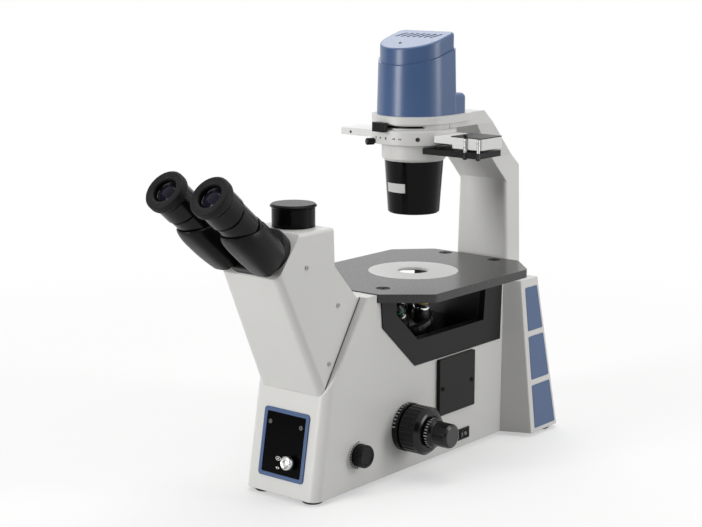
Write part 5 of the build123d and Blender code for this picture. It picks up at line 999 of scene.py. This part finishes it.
def soft_box(name, azimuth, distance, height, size, power):
    """A soft light round the object, as wide and tall as its size, turned to the object's middle."""
    turn = math.radians(azimuth)
    spot = Vector((math.sin(turn) * distance, -math.cos(turn) * distance, height))
    lamp = bpy.data.lights.new(name, "AREA")
    lamp.shape = "RECTANGLE"
    lamp.size, lamp.size_y = size
    lamp.energy = power
    box = new_piece(name, lamp)
    box.location = spot
    box.rotation_euler = (object_middle - spot).to_track_quat("-Z", "Y").to_euler()


world = bpy.data.worlds.new("studio_air")
bpy.context.scene.world = world
world.use_nodes = True
seen = looking_rays(world.node_tree)
air = world.node_tree.nodes["Background"]
seen.plug(air, {"Color": (1.0, 1.0, 1.0, 1.0), "Strength": 0.45 + 0.55 * seen})

floor_white, shader, place = new_finish("floor_white")
seen = looking_rays(floor_white.node_tree)
reach = place.node("ShaderNodeVectorMath", {"operation": "LENGTH"}, {0: place}, 1)
near = place.node("ShaderNodeMapRange", {"interpolation_type": "SMOOTHSTEP"},
                  {"Value": reach, "From Min": 0.45, "From Max": 1.4, "To Min": 1.0, "To Max": 0.0})
place.plug(shader, {
    "Base Color": place.tint(near, (0.0, 0.0, 0.0), (0.5, 0.5, 0.497)),
    "Roughness": 1.0,
    "Specular IOR Level": 0.0,
    "Emission Color": (1.0, 1.0, 1.0, 1.0),
    "Emission Strength": seen * (1.0 - 0.56 * near) + (1.0 - seen) * (0.4 - 0.4 * near),
})
far = 60.0
stage_quad("floor", [(-far, -far, 0.0), (far, -far, 0.0), (far, far, 0.0), (-far, far, 0.0)],
           floor_white)

wall_dark, shader, place = new_finish("wall_dark")
place.plug(shader, {"Base Color": (0.02, 0.02, 0.02, 1.0), "Roughness": 0.9})
wall_radius, wall_low, wall_tall = 3.6, 0.02, 2.2
wall_first, wall_step, wall_count = -72.0, 20.0, 8
for number in range(wall_count):
    edges = [math.radians(wall_first + wall_step * step) for step in (number, number + 1)]
    feet = [Vector((wall_radius * math.sin(edge), -wall_radius * math.cos(edge), wall_low))
            for edge in edges]
    tops = [foot + Vector((0.0, 0.0, wall_tall)) for foot in reversed(feet)]
    wall = stage_quad("camera_wall_%d" % number, feet + tops, wall_dark)
    wall.visible_camera = False

object_middle = Vector((0.0, 0.0, 0.25))
soft_box("front_left_strip", azimuth=-16.0, distance=2.7, height=0.8, size=(0.8, 1.5), power=50.0)
soft_box("right_strip", azimuth=118.0, distance=2.7, height=0.95, size=(0.8, 1.7), power=27.0)
soft_box("top_box", azimuth=180.0, distance=0.3, height=2.6, size=(1.8, 1.8), power=30.0)
soft_box("rear_left_box", azimuth=-131.0, distance=2.3, height=2.0, size=(1.2, 1.2), power=9.0)

photo_camera = bpy.data.cameras.new("photo_camera")
photo_camera.sensor_width = 36.0
photo_camera.lens = 84.62
camera = new_piece("photo_camera", photo_camera)
camera.location = (1.1958, axis_y - 1.5777, 0.6223)
camera.rotation_euler = (math.radians(78.9), 0.0, math.radians(39.36))
bpy.context.scene.camera = camera
bpy.context.scene.view_settings.view_transform = "Standard"
